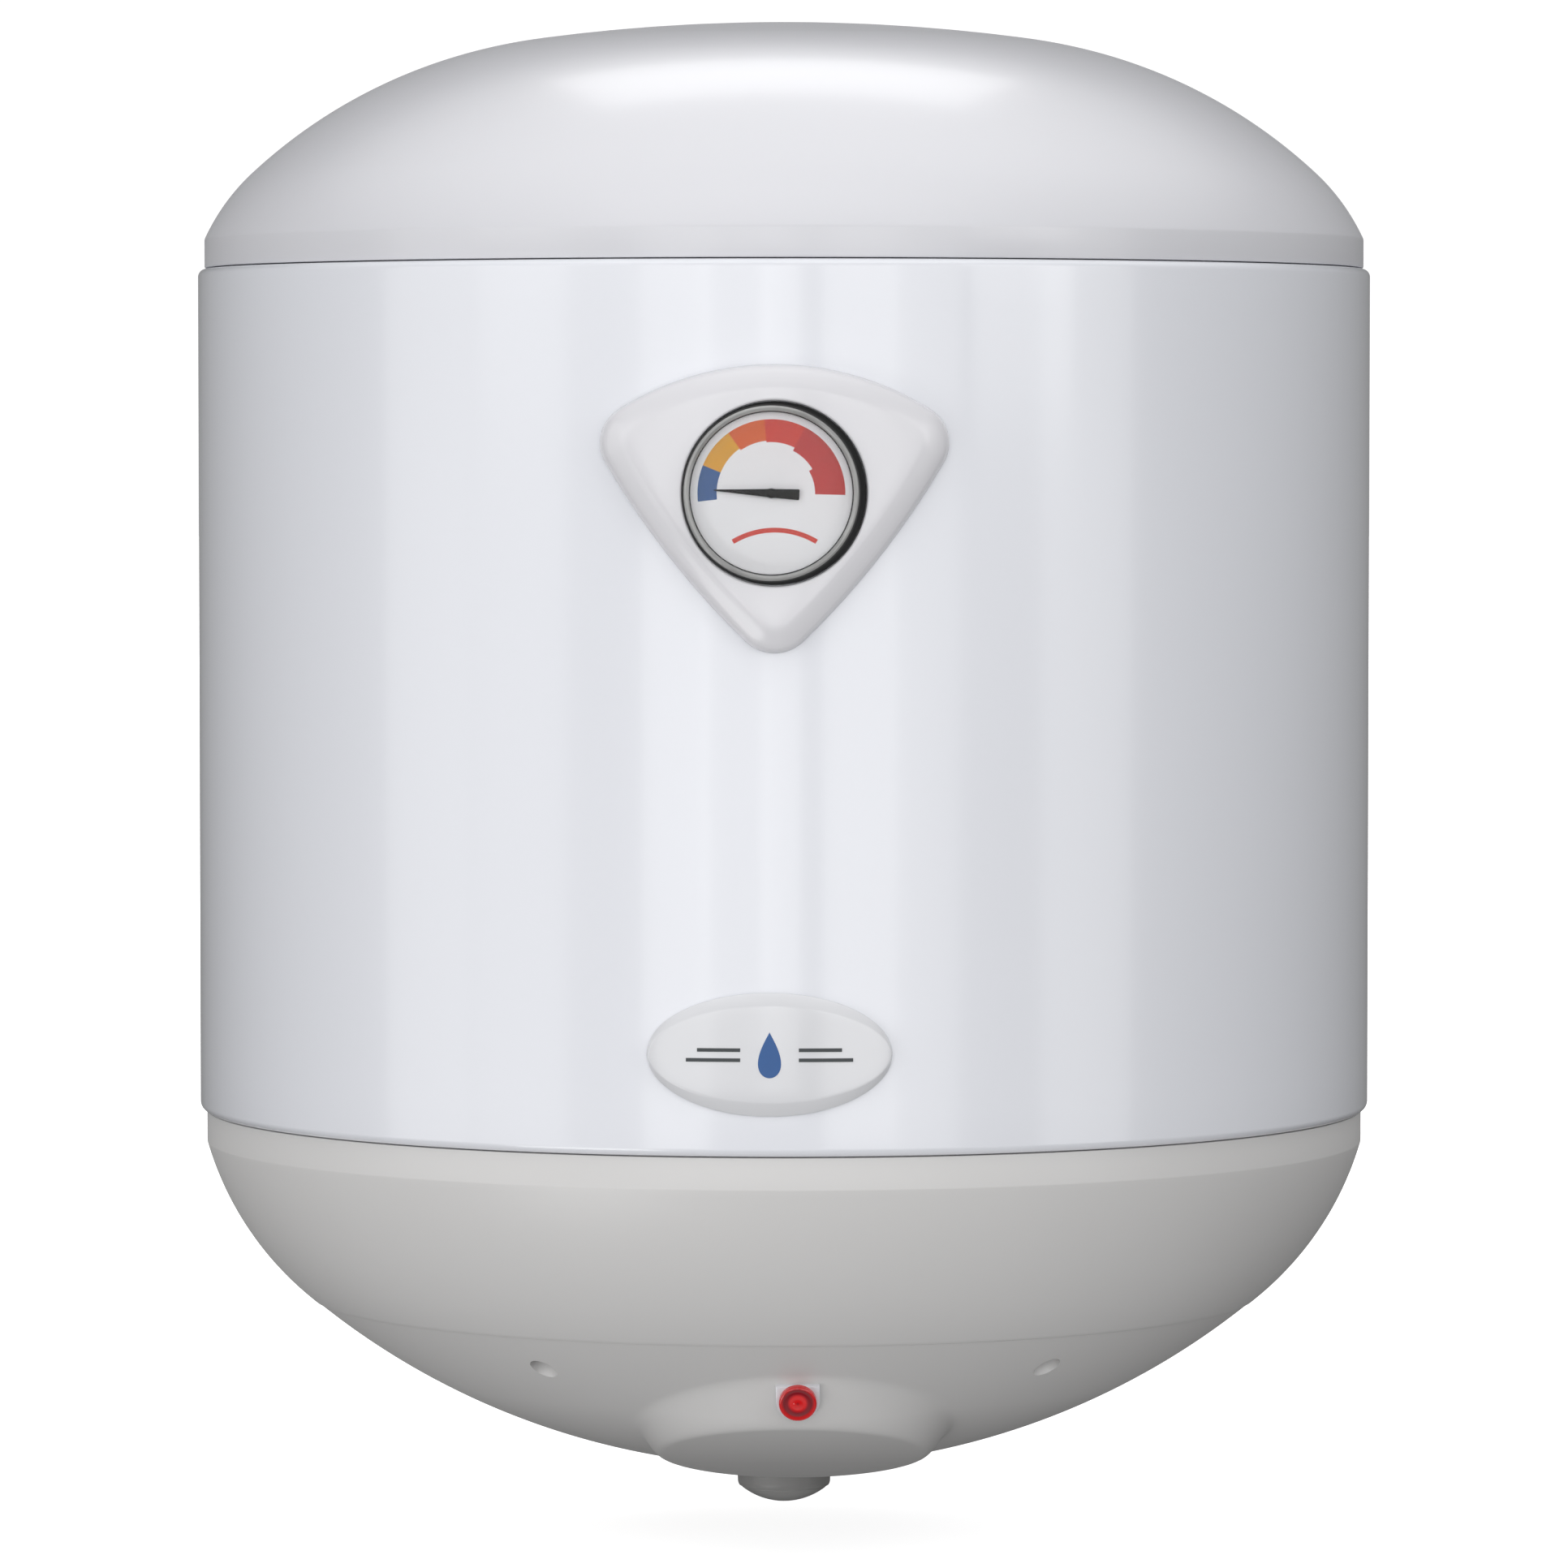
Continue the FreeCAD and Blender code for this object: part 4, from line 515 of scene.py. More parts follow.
def make_jacket():
    sheet, roll, lip = 0.8, 3.0, 213.0
    inside, inner_roll = SHELL_R - sheet, roll - sheet
    straight, rings = SHELL_TOP - SHELL_LOW - 2 * roll, 24
    belt = [SHELL_LOW + roll + straight * step / rings for step in range(rings, -1, -1)]
    outline = [
        (lip, SHELL_TOP),
        (SHELL_R - roll, SHELL_TOP),
        (SHELL_R, SHELL_TOP - roll, roll, CLOCKWISE),
        *[(SHELL_R, height) for height in belt[1:]],
        (SHELL_R - roll, SHELL_LOW, roll, CLOCKWISE),
        (lip, SHELL_LOW),
        (lip, SHELL_LOW + sheet),
        (SHELL_R - roll, SHELL_LOW + sheet),
        (inside, SHELL_LOW + roll, inner_roll, ANTICLOCKWISE),
        *[(inside, height) for height in reversed(belt[:-1])],
        (SHELL_R - roll, SHELL_TOP - sheet, inner_roll, ANTICLOCKWISE),
        (lip, SHELL_TOP - sheet),
    ]
    jacket = object_of("jacket", turned(outline, fine=9.0), standing(AXIS))
    half, sheet_steel, leg, gap = 102.0, 3.0, 50.0, 1
    behind, beyond = 180, 240
    cuts = []
    for side in (-1, 1):
        low, high = (half - sheet_steel - gap) * side, (half + gap) * side
        flat = [(low, behind), (high, behind), (high, beyond), (low, beyond)]
        cuts.append((prism(flat, -(leg / 2 + gap), leg / 2 + gap), standing(AXIS)))
    cuts.append((turned(disc_outline(GAUGE_HOLE_R, *THROUGH_JACKET), 64), standing(GAUGE, FRONT)))
    spacer = middle_mm("lower_wall_spacer")
    spot = Vector((spacer.x, AXIS.y, spacer.z))
    peg_hole = turned(disc_outline(SPACER_HOLE_R, *THROUGH_JACKET), 48)
    cuts.append((peg_hole, standing(spot, -FRONT)))
    combine(jacket, "DIFFERENCE", cuts)
    finished(jacket, "jacket_paint", replaces=["outer_shell"])


CROWN_R, CROWN_TILT = 703.0, math.radians(7.98)
SHOULDER_R, SHOULDER_TILT = 196.5, math.radians(43.01)
RIM_R = 79.7
BAND_TOP = 86.4
CROWN_X = CROWN_R * math.sin(CROWN_TILT)
CROWN_Z = CAP_TOP - CROWN_R * (1 - math.cos(CROWN_TILT))
SHOULDER_X = CROWN_X + SHOULDER_R * (math.sin(SHOULDER_TILT) - math.sin(CROWN_TILT))
SHOULDER_Z = CROWN_Z - SHOULDER_R * (math.cos(CROWN_TILT) - math.cos(SHOULDER_TILT))
SEAM = 0.4
CAP_WALL = 2.6
SPIGOT_R = 212.5
SPIGOT_LONG = 13.0


def dome(inset):
    """The top cap's dome from its highest point down to the band, set in by a distance."""
    def inward(x, z, tilt):
        return (x - inset * math.sin(tilt), z - inset * math.cos(tilt))

    crown = inward(CROWN_X, CROWN_Z, CROWN_TILT)
    shoulder = inward(SHOULDER_X, SHOULDER_Z, SHOULDER_TILT)
    return [(0.0, CAP_TOP - inset), crown, shoulder, (CAP_R - inset, BAND_TOP)]


def make_top_cap():
    apex, crown, shoulder, band = dome(0.0)
    under_apex, under_crown, under_shoulder, under_band = dome(CAP_WALL)
    outline = [
        apex,
        (*crown, CROWN_R, CLOCKWISE),
        (*shoulder, SHOULDER_R, CLOCKWISE),
        (*band, RIM_R, CLOCKWISE),
        (CAP_R, SHELL_TOP + SEAM),
        (SPIGOT_R, SHELL_TOP + SEAM),
        (SPIGOT_R, SHELL_TOP - SPIGOT_LONG),
        (SPIGOT_R - CAP_WALL, SHELL_TOP - SPIGOT_LONG),
        (SPIGOT_R - CAP_WALL, SHELL_TOP + SEAM + CAP_WALL),
        (CAP_R - CAP_WALL, SHELL_TOP + SEAM + CAP_WALL),
        under_band,
        (*under_shoulder, RIM_R - CAP_WALL, ANTICLOCKWISE),
        (*under_crown, SHOULDER_R - CAP_WALL, ANTICLOCKWISE),
        (*under_apex, CROWN_R - CAP_WALL, ANTICLOCKWISE),
    ]
    cap = object_of("top_cap_moulding", turned(outline, fine=1.0), standing(AXIS))
    soften(cap, 0.5, angle=14.0)
    finished(cap, "cap_plastic", replaces=["top_cap"])


# ---------------------------------------------------------------- bottom cap and service cover

BAND_LOW = -259.4
BOWL_R = 119.0
CREASE = (181.8, -320.4)
SEAT_R = 174.0
SEAT_UP = 4.7
CEILING = -298.0
CEILING_HOLE_R = 80.0
SCREW_PITCH_R = 163.8
SCREW_ANGLE = 34.7
WELL_R, WELL_WALL, WELL_FLOOR = 5.0, 2.4, -322.0
GLAND = Vector((middle_mm("cable_gland").x, middle_mm("cable_gland").y, 0.0))
PIPES = {name: Vector((middle_mm(name).x, middle_mm(name).y, 0.0))
         for name in ("cold_inlet_nipple", "hot_outlet_nipple")}
COLLAR_R, COLLAR_LOW, COLLAR_TALL = 15.5, -372.0, 24.0
GLAND_COLLAR_R, GLAND_COLLAR_LOW, GLAND_COLLAR_TALL = 13.5, -368.0, 20.0
GLAND_HOLE_R, KNOB_HOLE_R, PIPE_GAP = 10.3, 4.0, 2.0


def screw_places():
    """The four cover screws, which sit with the cover's small turn about the tank's axis."""
    for front in (-90.0, 90.0):
        for side in (-1, 1):
            angle = math.radians(front + side * SCREW_ANGLE) + SKEW
            yield AXIS + Vector((math.cos(angle), math.sin(angle), 0.0)) * SCREW_PITCH_R


def make_bottom_cap():
    groove_top = CREASE[1] + SEAT_UP
    outline = [
        (SPIGOT_R, SHELL_LOW + SPIGOT_LONG),
        (SPIGOT_R, SHELL_LOW - SEAM),
        (CAP_R, SHELL_LOW - SEAM),
        (CAP_R, BAND_LOW),
        (*CREASE, BOWL_R, CLOCKWISE),
        (CREASE[0], groove_top),
        (SEAT_R, groove_top),
        (SEAT_R, CEILING),
        (CEILING_HOLE_R, CEILING),
        (CEILING_HOLE_R, CEILING + CAP_WALL),
        (SEAT_R + CAP_WALL, CEILING + CAP_WALL),
        (SEAT_R + CAP_WALL, groove_top + CAP_WALL),
        (CREASE[0] + CAP_WALL + 1.8, groove_top + CAP_WALL),
        (CAP_R - CAP_WALL, BAND_LOW, BOWL_R - CAP_WALL, ANTICLOCKWISE),
        (CAP_R - CAP_WALL, SHELL_LOW - SEAM - CAP_WALL),
        (SPIGOT_R - CAP_WALL, SHELL_LOW - SEAM - CAP_WALL),
        (SPIGOT_R - CAP_WALL, SHELL_LOW + SPIGOT_LONG),
    ]
    cap = object_of("bottom_cap_moulding", turned(outline, fine=1.0), standing(AXIS))
    soften(cap, 0.35, angle=10.0)
    finished(cap, "cap_plastic", replaces=["bottom_cap"], finish="shaded_base_plastic")


COVER_EDGE = (COVER_R, CREASE[1])
COVER_LOW = -385.4
DISH_RISE = COVER_EDGE[1] - COVER_LOW
DISH_R = (COVER_R ** 2 + DISH_RISE ** 2) / (2 * DISH_RISE)
BOSS_OUT = 106.7
BOSS = (BOSS_OUT * math.sin(SKEW), -BOSS_OUT * math.cos(SKEW))
BOSS_BASE = {"half_x": 59.4, "half_y": 61.8, "z": -356.6, "slope": math.radians(22.3)}
BOSS_TOP = {"half_x": 47.5, "half_y": 45.5, "z": -374.4, "slope": math.radians(18.0)}
BOSS_FACE_R = 440.0
BOSS_FACE_Z = -371.9
BOSS_EDGE = 3.0
BOSS_FOOT = 2.6
BOSS_SPREAD = 1.25


def smooth_high(first, second, width):
    """The higher of two surfaces, rounded over where they meet."""
    near = np.clip(width - np.abs(first - second), 0.0, None) / width
    return np.maximum(first, second) + near ** 2 * width / 4


def cover_underside(x, y):
    """Height of the cover's outside at points from the tank's axis: a dish with the boss on it."""
    dish = COVER_LOW + DISH_R - np.sqrt(DISH_R ** 2 - x ** 2 - y ** 2)
    across, along = x - BOSS[0], y - BOSS[1]
    away = np.hypot(across, along) + 1e-9
    cos, sin = across / away, along / away

    def reach(rim):
        depth = rim["half_y"] * math.cos(rim["slope"])
        return 1.0 / np.sqrt((cos / rim["half_x"]) ** 2 + (sin / depth) ** 2)

    def height(rim):
        return rim["z"] - along * math.tan(rim["slope"])

    share = (reach(BOSS_BASE) - away) / (reach(BOSS_BASE) - reach(BOSS_TOP))
    wall = height(BOSS_BASE) + (height(BOSS_TOP) - height(BOSS_BASE)) * share
    centre_along = BOSS_FACE_R * math.sin(BOSS_TOP["slope"])
    centre_z = BOSS_FACE_Z + BOSS_FACE_R * math.cos(BOSS_TOP["slope"])
    drop = BOSS_FACE_R ** 2 - across ** 2 - (along - centre_along) ** 2
    face = centre_z - np.sqrt(np.clip(drop, 1.0, None))
    near = away < reach(BOSS_BASE) * BOSS_SPREAD
    boss = np.where(near, smooth_high(wall, face, BOSS_EDGE), dish + BOSS_FOOT)
    return -smooth_high(-dish, -boss, BOSS_FOOT)


def underside_at(x, y):
    return float(cover_underside(np.array(x), np.array(y)))


def cover_blank():
    """The cover as a closed shell, before its wells, collars and holes."""
    around = 540
    inside_up = CAP_WALL * 1.15
    angles = np.arange(around) * 2 * math.pi / around
    radii = list(np.linspace(1.2, COVER_R, 150))
    outer = [[(0.0, 0.0, underside_at(0.0, 0.0))]]
    inner = []
    for radius in radii:
        x, y = radius * np.cos(angles), radius * np.sin(angles)
        z = cover_underside(x, y)
        outer.append([tuple(point) for point in np.stack([x, y, z], 1)])
        if radius < COVER_R - CAP_WALL - 0.5:
            inner.append([tuple(point) for point in np.stack([x, y, z + inside_up], 1)])
    rim_z = np.full(around, COVER_RIM)
    rim = []
    for radius in (COVER_R, COVER_R - CAP_WALL):
        x, y = radius * np.cos(angles), radius * np.sin(angles)
        rim.append([tuple(point) for point in np.stack([x, y, rim_z], 1)])
    middle = outer[0][0]
    inner.insert(0, [(0.0, 0.0, middle[2] + inside_up)])
    return skin(outer + rim + inner[::-1], closed_across=False)


def lamp_seat():
    """The U-shaped seat for the lamp, drawn about the lamp's axis."""
    half, flat_top, deep, proud = 8.1, 6.2, 14.0, 0.25
    return prism([
        (-half, flat_top),
        (-half, 0.0),
        (0.0, -half, half, ANTICLOCKWISE),
        (half, 0.0, half, ANTICLOCKWISE),
        (half, flat_top),
    ], -deep, proud)


def lamp_hole():
    """The cutter for the lamp's hole, with its place."""
    hole_r, deep, proud = 5.3, 30.0, 6.0
    return turned(disc_outline(hole_r, -deep, proud), 48), standing(LAMP, LAMP_LEAN)


def make_lamp_seat():
    seat = object_of("lamp_seat_moulding", lamp_seat(), standing(LAMP, LAMP_LEAN))
    combine(seat, "DIFFERENCE", [lamp_hole()])
    soften(seat, 0.35, 2)
    finished(seat, "cap_plastic", replaces=["service_cover"], sharp=30.0)


def screw_well(offset):
    """A solid stub whose lower end follows the inside of the cover, drawn about the tank's axis."""
    around, radius = 48, WELL_R + WELL_WALL
    sunk, top = 1.4, WELL_FLOOR + CAP_WALL
    low, high = [], []
    for step in range(around):
        angle = 2 * math.pi * step / around
        x, y = offset.x + radius * math.cos(angle), offset.y + radius * math.sin(angle)
        low.append((x, y, underside_at(x, y) + sunk))
        high.append((x, y, top))
    heart = underside_at(offset.x, offset.y) + sunk
    rings = [[(offset.x, offset.y, heart)], low, high, [(offset.x, offset.y, top)]]
    return skin(rings, closed_across=False)


def post(spot, radius, low, high, segments=72):
    """A plain cylinder at a spot, with its place."""
    return turned(disc_outline(radius, low, high), segments), standing(spot)


def make_service_cover():
    cover = object_of("service_cover_moulding", cover_blank(), standing(AXIS))
    screw_r, under = 2.4, 12.0
    hole_below, hole_above = 20.0, 40.0
    adds = []
    cuts = [lamp_hole()]
    for spot in screw_places():
        offset = spot - AXIS
        below = underside_at(offset.x, offset.y) - under
        adds.append((screw_well(offset), standing(AXIS)))
        cuts.append((turned([
            (0.0, below), (WELL_R, below), (WELL_R, WELL_FLOOR),
            (screw_r, WELL_FLOOR), (screw_r, WELL_FLOOR + 6.0), (0.0, WELL_FLOOR + 6.0),
        ], 48), standing(spot)))
    for spot in PIPES.values():
        adds.append(post(spot, COLLAR_R, COLLAR_LOW, COLLAR_LOW + COLLAR_TALL))
        cuts.append(post(spot, PIPE_R + PIPE_GAP, COLLAR_LOW - hole_below, COLLAR_LOW + hole_above))
    gland_low = GLAND_COLLAR_LOW
    adds.append(post(GLAND, GLAND_COLLAR_R, gland_low, gland_low + GLAND_COLLAR_TALL))
    cuts.append(post(GLAND, GLAND_HOLE_R, gland_low - hole_below, gland_low + hole_above))
    cuts.append(post(AXIS, KNOB_HOLE_R, COVER_LOW - 10.0, COVER_LOW + 15.0, 48))
    combine(cover, "UNION", adds, "MANIFOLD")
    combine(cover, "DIFFERENCE", cuts, "MANIFOLD")
    finished(cover, "cap_plastic", replaces=["service_cover"], sharp=36.0, finish="shaded_cover_plastic")


# ---------------------------------------------------------------- thermometer

PANEL_X = middle_mm("thermometer_panel").x
PANEL_TIP_Z = box_mm("thermometer_panel")[0].z
PANEL_APEX_Z = box_mm("thermometer_panel")[1].z
PANEL_HALF = radius_mm("thermometer_panel")
PANEL_ARCH_R, PANEL_CORNER_R, PANEL_SIDE_R, PANEL_TIP_R = 105.0, 14.0, 300.0, 15.0
PANEL_HOLE_R = 33.1
PANEL_PROUD, PANEL_BACK = 7.7, 0.35
PANEL_LIP, PANEL_LIP_DROP = 0.9, 0.7


def panel_outline():
    """Rounded triangle seen from the front: arched top, round corners, bowed sides, round tip."""
    arch_z = PANEL_APEX_Z - PANEL_ARCH_R
    corner_x = PANEL_HALF - PANEL_CORNER_R
    corner_z = arch_z + math.sqrt((PANEL_ARCH_R - PANEL_CORNER_R) ** 2 - corner_x ** 2)
    tip = Vector((0.0, PANEL_TIP_Z + PANEL_TIP_R))
    corner = Vector((-corner_x, corner_z))
    way = tip - corner
    gap = way.length
    way.normalize()
    long = PANEL_SIDE_R - PANEL_CORNER_R
    along = (long ** 2 - (PANEL_SIDE_R - PANEL_TIP_R) ** 2 + gap ** 2) / (2 * gap)
    side_centre = corner + way * along + Vector((-way.y, way.x)) * math.sqrt(long ** 2 - along ** 2)
    arch_centre = Vector((0.0, arch_z))
    shoulder = arch_centre + (corner - arch_centre).normalized() * PANEL_ARCH_R
    flank = corner + (corner - side_centre).normalized() * PANEL_CORNER_R
    foot = tip + (tip - side_centre).normalized() * PANEL_TIP_R
    return [
        (shoulder.x, shoulder.y, PANEL_ARCH_R, ANTICLOCKWISE),
        (flank.x, flank.y, PANEL_CORNER_R, ANTICLOCKWISE),
        (foot.x, foot.y, PANEL_SIDE_R, ANTICLOCKWISE),
        (-foot.x, foot.y, PANEL_TIP_R, ANTICLOCKWISE),
        (-flank.x, flank.y, PANEL_SIDE_R, ANTICLOCKWISE),
        (-shoulder.x, shoulder.y, PANEL_CORNER_R, ANTICLOCKWISE),
    ]


def spread_evenly(points, count):
    """The closed line through the points, as evenly spaced points."""
    loop = np.array([tuple(point) for point in points] + [tuple(points[0])])
    steps = np.hypot(*np.diff(loop, axis=0).T)
    reach = np.concatenate([[0.0], np.cumsum(steps)])
    places = np.arange(count) * reach[-1] / count
    return np.stack([np.interp(places, reach, loop[:, axis]) for axis in (0, 1)], 1)


def distance_to(loop, points):
    """How far each point lies from a closed line."""
    start, way = loop, np.roll(loop, -1, 0) - loop
    offset = points[:, None, :] - start[None]
    share = np.clip((offset * way).sum(2) / (way ** 2).sum(1), 0.0, 1.0)
    return np.hypot(*np.moveaxis(offset - share[..., None] * way, 2, 0)).min(1)


def on_jacket(x, z, proud):
    """A point seen from the front at x and z, proud of the jacket by a distance."""
    return (x, AXIS.y - math.sqrt((SHELL_R + proud) ** 2 - x ** 2), z)


PILLOW_FROM_EDGE = (0.0, 0.35, 0.9, 1.7, 2.8, 4.5, 6.5, 8.2, 9.6, 12.0, 60.0)
PILLOW_PROUD = (0.9, 2.4, 3.5, 4.4, 5.15, 6.0, 6.85, 7.40, 7.60, PANEL_PROUD, PANEL_PROUD)


def make_panel():
    outline = spread_evenly(outline_points(panel_outline(), 1.5), 420)
    heart = np.array([0.0, GAUGE.z])
    away = outline - heart
    hole = heart + PANEL_HOLE_R * away / np.hypot(*away.T)[:, None]
    shares = np.concatenate([
        np.linspace(0.0, 0.12, 13), np.linspace(0.14, 0.9, 26), np.linspace(0.93, 1.0, 8),
    ])
    rings = []
    for share in shares:
        points = outline + (hole - outline) * share
        proud = np.interp(distance_to(outline, points), PILLOW_FROM_EDGE, PILLOW_PROUD)
        from_hole = np.hypot(*(points - heart).T) - PANEL_HOLE_R
        proud -= PANEL_LIP_DROP * np.clip(1.0 - from_hole / PANEL_LIP, 0.0, 1.0) ** 2
        rings.append([on_jacket(PANEL_X + x, z, out) for (x, z), out in zip(points, proud)])
    for share in (1.0, 0.5, 0.0):
        points = outline + (hole - outline) * share
        rings.append([on_jacket(PANEL_X + x, z, PANEL_BACK) for x, z in points])
    panel = object_of("thermometer_surround", skin(rings), Matrix.Scale(MM, 4))
    relax = panel.modifiers.new("relax", "SMOOTH")
    relax.factor = 0.4
    relax.iterations = 2
    apply_modifiers(panel)
    finished(panel, "panel_plastic", replaces=["thermometer_panel"], sharp=50.0)


DIAL_FRONT = -box_mm("gauge_dial")[0].y + AXIS.y
LENS_FRONT = -box_mm("gauge_lens")[0].y + AXIS.y
LENS_R_OUT = radius_mm("gauge_lens")
DIAL_R = radius_mm("gauge_dial")
BAND_R = 26.4
BANDS = (
    # first angle, last angle from +X, inner radius, print
    (157.8, 186.5, 19.55, "print_blue"),
    (125.5, 157.8, 19.55, "print_yellow"),
    (95.5, 125.5, 18.8, "print_orange"),
    (63.0, 95.5, 18.25, "print_red"),
    (30.6, 63.0, 17.0, "print_deep_red"),
    (-1.3, 30.6, 15.6, "print_deep_red"),
)
PRINT_THICK, PRINT_SUNK = 0.06, 0.02


def round_edge(radius, first, last, steps, centre=(0.0, 0.0)):
    angles = [math.radians(first + (last - first) * step / steps) for step in range(steps + 1)]
    x, y = centre
    return [(x + radius * math.cos(angle), y + radius * math.sin(angle)) for angle in angles]


def on_dial(x, y, height):
    return (x, y, height)


def gauge_piece(name, mesh):
    """A piece drawn about the thermometer's axis."""
    return object_of(name, mesh, standing(GAUGE, FRONT))


def make_dial_print():
    low, high = DIAL_FRONT - PRINT_SUNK, DIAL_FRONT + PRINT_THICK
    for number, (first, last, inner, print_name) in enumerate(BANDS, start=1):
        edges = (round_edge(inner, first, last, 28), round_edge(BAND_R, first, last, 28))
        mark = gauge_piece(f"dial_band_{number}", slab(*edges, on_dial, low, high))
        finished(mark, "dial_white", finish=print_name)
    # A plain even arc below the hub.
    below, first, last = (1.2, -42.2), 59.0, 121.0
    edges = [round_edge(radius, first, last, 36, below) for radius in (28.2, 29.9)]
    arc = gauge_piece("dial_arc", slab(*edges, on_dial, low, high))
    finished(arc, "dial_white", finish="print_red")


def make_gauge():
    plate = ring_outline(1.6, DIAL_R, DIAL_FRONT - 0.7, DIAL_FRONT)
    dial = gauge_piece("dial_plate", turned(plate, 128))
    finished(soften(dial, 0.12), "dial_white", replaces=["gauge_dial"])
    make_dial_print()
    rim_inner = DIAL_R + 0.4
    rim = turned([
        (rim_inner, DIAL_FRONT - 0.6),
        (LENS_R_OUT, DIAL_FRONT - 0.6),
        (LENS_R_OUT, LENS_FRONT - 0.9),
        (LENS_R_OUT - 0.9, LENS_FRONT, 0.9, ANTICLOCKWISE),
        (LENS_R_OUT - 1.3, LENS_FRONT - 0.35),
        (rim_inner + 0.2, LENS_FRONT - 0.55),
        (rim_inner, LENS_FRONT - 0.8),
    ], 160, 15.0)
    rim = gauge_piece("lens_rim", rim)
    # The rim is clear lens plastic with a grey finish that paints in its reflection.
    finished(rim, "clear_lens", sharp=60.0, finish="lens_rim")
    pane = turned([
        (0.0, LENS_FRONT - 1.4),
        (rim_inner - 0.05, LENS_FRONT - 1.7),
        (rim_inner - 0.05, LENS_FRONT - 0.8),
        (0.0, LENS_FRONT - 0.4, 1100.0, ANTICLOCKWISE),
    ], 128, 0.3)
    pane = gauge_piece("lens_pane", pane)
    finished(pane, "clear_lens", replaces=["gauge_lens"])
    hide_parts("gauge_lens")


NEEDLE_LOW = -box_mm("gauge_needle")[1].y + AXIS.y
NEEDLE_ANGLE = 176.9


def make_needle():
    low = NEEDLE_LOW
    high = low + 0.5
    long, tail, hub_r = 20.6, 10.0, 1.75
    # distance from the hub, half width
    stations = ((long, 0.25), (long * 0.5, 0.86), (1.8, 1.42), (0.0, 1.5), (-1.8, 1.6),
                (-tail + 0.3, 1.93), (-tail, 1.7))
    edges = ([(x, -half) for x, half in stations], [(x, half) for x, half in stations])
    blade = slab(*edges, on_dial, low, high)
    blade = object_of("needle_blade", blade, standing(GAUGE, FRONT, NEEDLE_ANGLE))
    soften(blade, 0.1, 2)
    finished(blade, "needle_black", "needle", ["gauge_needle"])
    cap = turned([
        (0.0, high - 0.2),
        (hub_r, high - 0.2),
        (hub_r, high + 0.15),
        (0.0, high + 0.5, 5.0, ANTICLOCKWISE),
    ], 48, 4.0)
    finished(gauge_piece("needle_hub", cap), "needle_black", "needle")


# ---------------------------------------------------------------- badge

BADGE = middle_mm("badge_plate")
BADGE_HALF = (radius_mm("badge_plate"),
              (box_mm("badge_plate")[1].z - box_mm("badge_plate")[0].z) / 2)
BADGE_PROUD = 3.2


def on_badge(x, y, height):
    return on_jacket(BADGE.x + x, BADGE.z + y, height)


def make_badge():
    face_x, face_z = BADGE_HALF[0] - 0.7, 17.4
    stations = [
        # half width, half height, proud
        (BADGE_HALF[0] - 0.5, BADGE_HALF[1] - 0.5, 0.3),
        (BADGE_HALF[0], BADGE_HALF[1], 0.4),
        (BADGE_HALF[0], BADGE_HALF[1], 0.95),
        (BADGE_HALF[0] - 0.15, BADGE_HALF[1] - 0.3, 1.2),
        (face_x + 0.1, face_z + 0.35, BADGE_PROUD - 0.30),
        (face_x - 0.1, face_z, BADGE_PROUD - 0.20),
        (face_x - 0.6, face_z - 0.5, BADGE_PROUD - 0.16),
    ]
    shares, crown, around = (0.9, 0.7, 0.5, 0.3, 0.12), 0.12, 220
    stations += [(face_x * share, face_z * share, BADGE_PROUD - crown * share) for share in shares]
    angles = [2 * math.pi * step / around for step in range(around)]
    rings = [[on_badge(half_x * math.cos(a), half_z * math.sin(a), proud) for a in angles]
             for half_x, half_z, proud in stations]
    rings.append([on_badge(0.0, 0.0, BADGE_PROUD)])
    rings.append([on_badge(0.0, 0.0, 0.3)])
    badge = object_of("badge_oval", skin(rings), Matrix.Scale(MM, 4))
    finished(badge, "badge_plastic", replaces=["badge_plate"], sharp=28.0)
    make_badge_mark()


def make_badge_mark():
    """A plain water drop between straight bars, as any water appliance may carry."""
    low, high = BADGE_PROUD - 0.2, BADGE_PROUD + 0.06
    tall, wide, belly = 16.5, 5.0, 32
    left, right = [], []
    for step in range(belly + 1):
        share = step / belly
        angle = share * math.pi
        half = max(0.03, wide * math.sin(angle) * math.sin(angle / 2) ** 1.2 * 1.12)
        height = tall / 2 - tall * (1 - math.cos(angle)) / 2
        left.append((-half, height))
        right.append((half, height))
    drop = object_of("badge_drop", slab(left, right, on_badge, low, high), Matrix.Scale(MM, 4))
    finished(drop, "badge_plastic", finish="print_blue")
    start, half, steps = 10.5, 0.65, 20
    top, pitch = 5.4, 3.6
    for side in (-1, 1):
        for row, end in enumerate((26.0, 30.0), start=1):
            height = top - row * pitch
            places = [start + (end - start) * step / steps for step in range(steps + 1)]
            upper = [(x * side, height + half) for x in places]
            lower = [(x * side, height - half) for x in places]
            name = f"badge_bar_{'left' if side < 0 else 'right'}_{row}"
            line = object_of(name, slab(lower, upper, on_badge, low, high), Matrix.Scale(MM, 4))
            finished(line, "badge_plastic", finish="print_grey")


# ---------------------------------------------------------------- lamp, knob and pipes

def make_lamp_lens():
    """A shallow dome with a raised rim and a moulded ring inside it."""
    outline = [
        (0.0, 0.2),
        (LENS_R, 0.2),
        (LENS_R, 1.9),
        (LENS_R - 0.8, 2.7, 0.8, ANTICLOCKWISE),
        (LENS_R - 1.7, 2.45),
        (LENS_R - 2.2, 2.5),
        (LENS_R * 0.42, 3.05),
        (LENS_R * 0.36, 2.8),
        (0.0, 3.3, 9.0, ANTICLOCKWISE),
    ]
    lens = object_of("lamp_lens_moulding", turned(outline, 96, 8.0), standing(LAMP, LAMP_LEAN))
    finished(lens, "red_lens", replaces=["lamp_lens"], sharp=50.0)


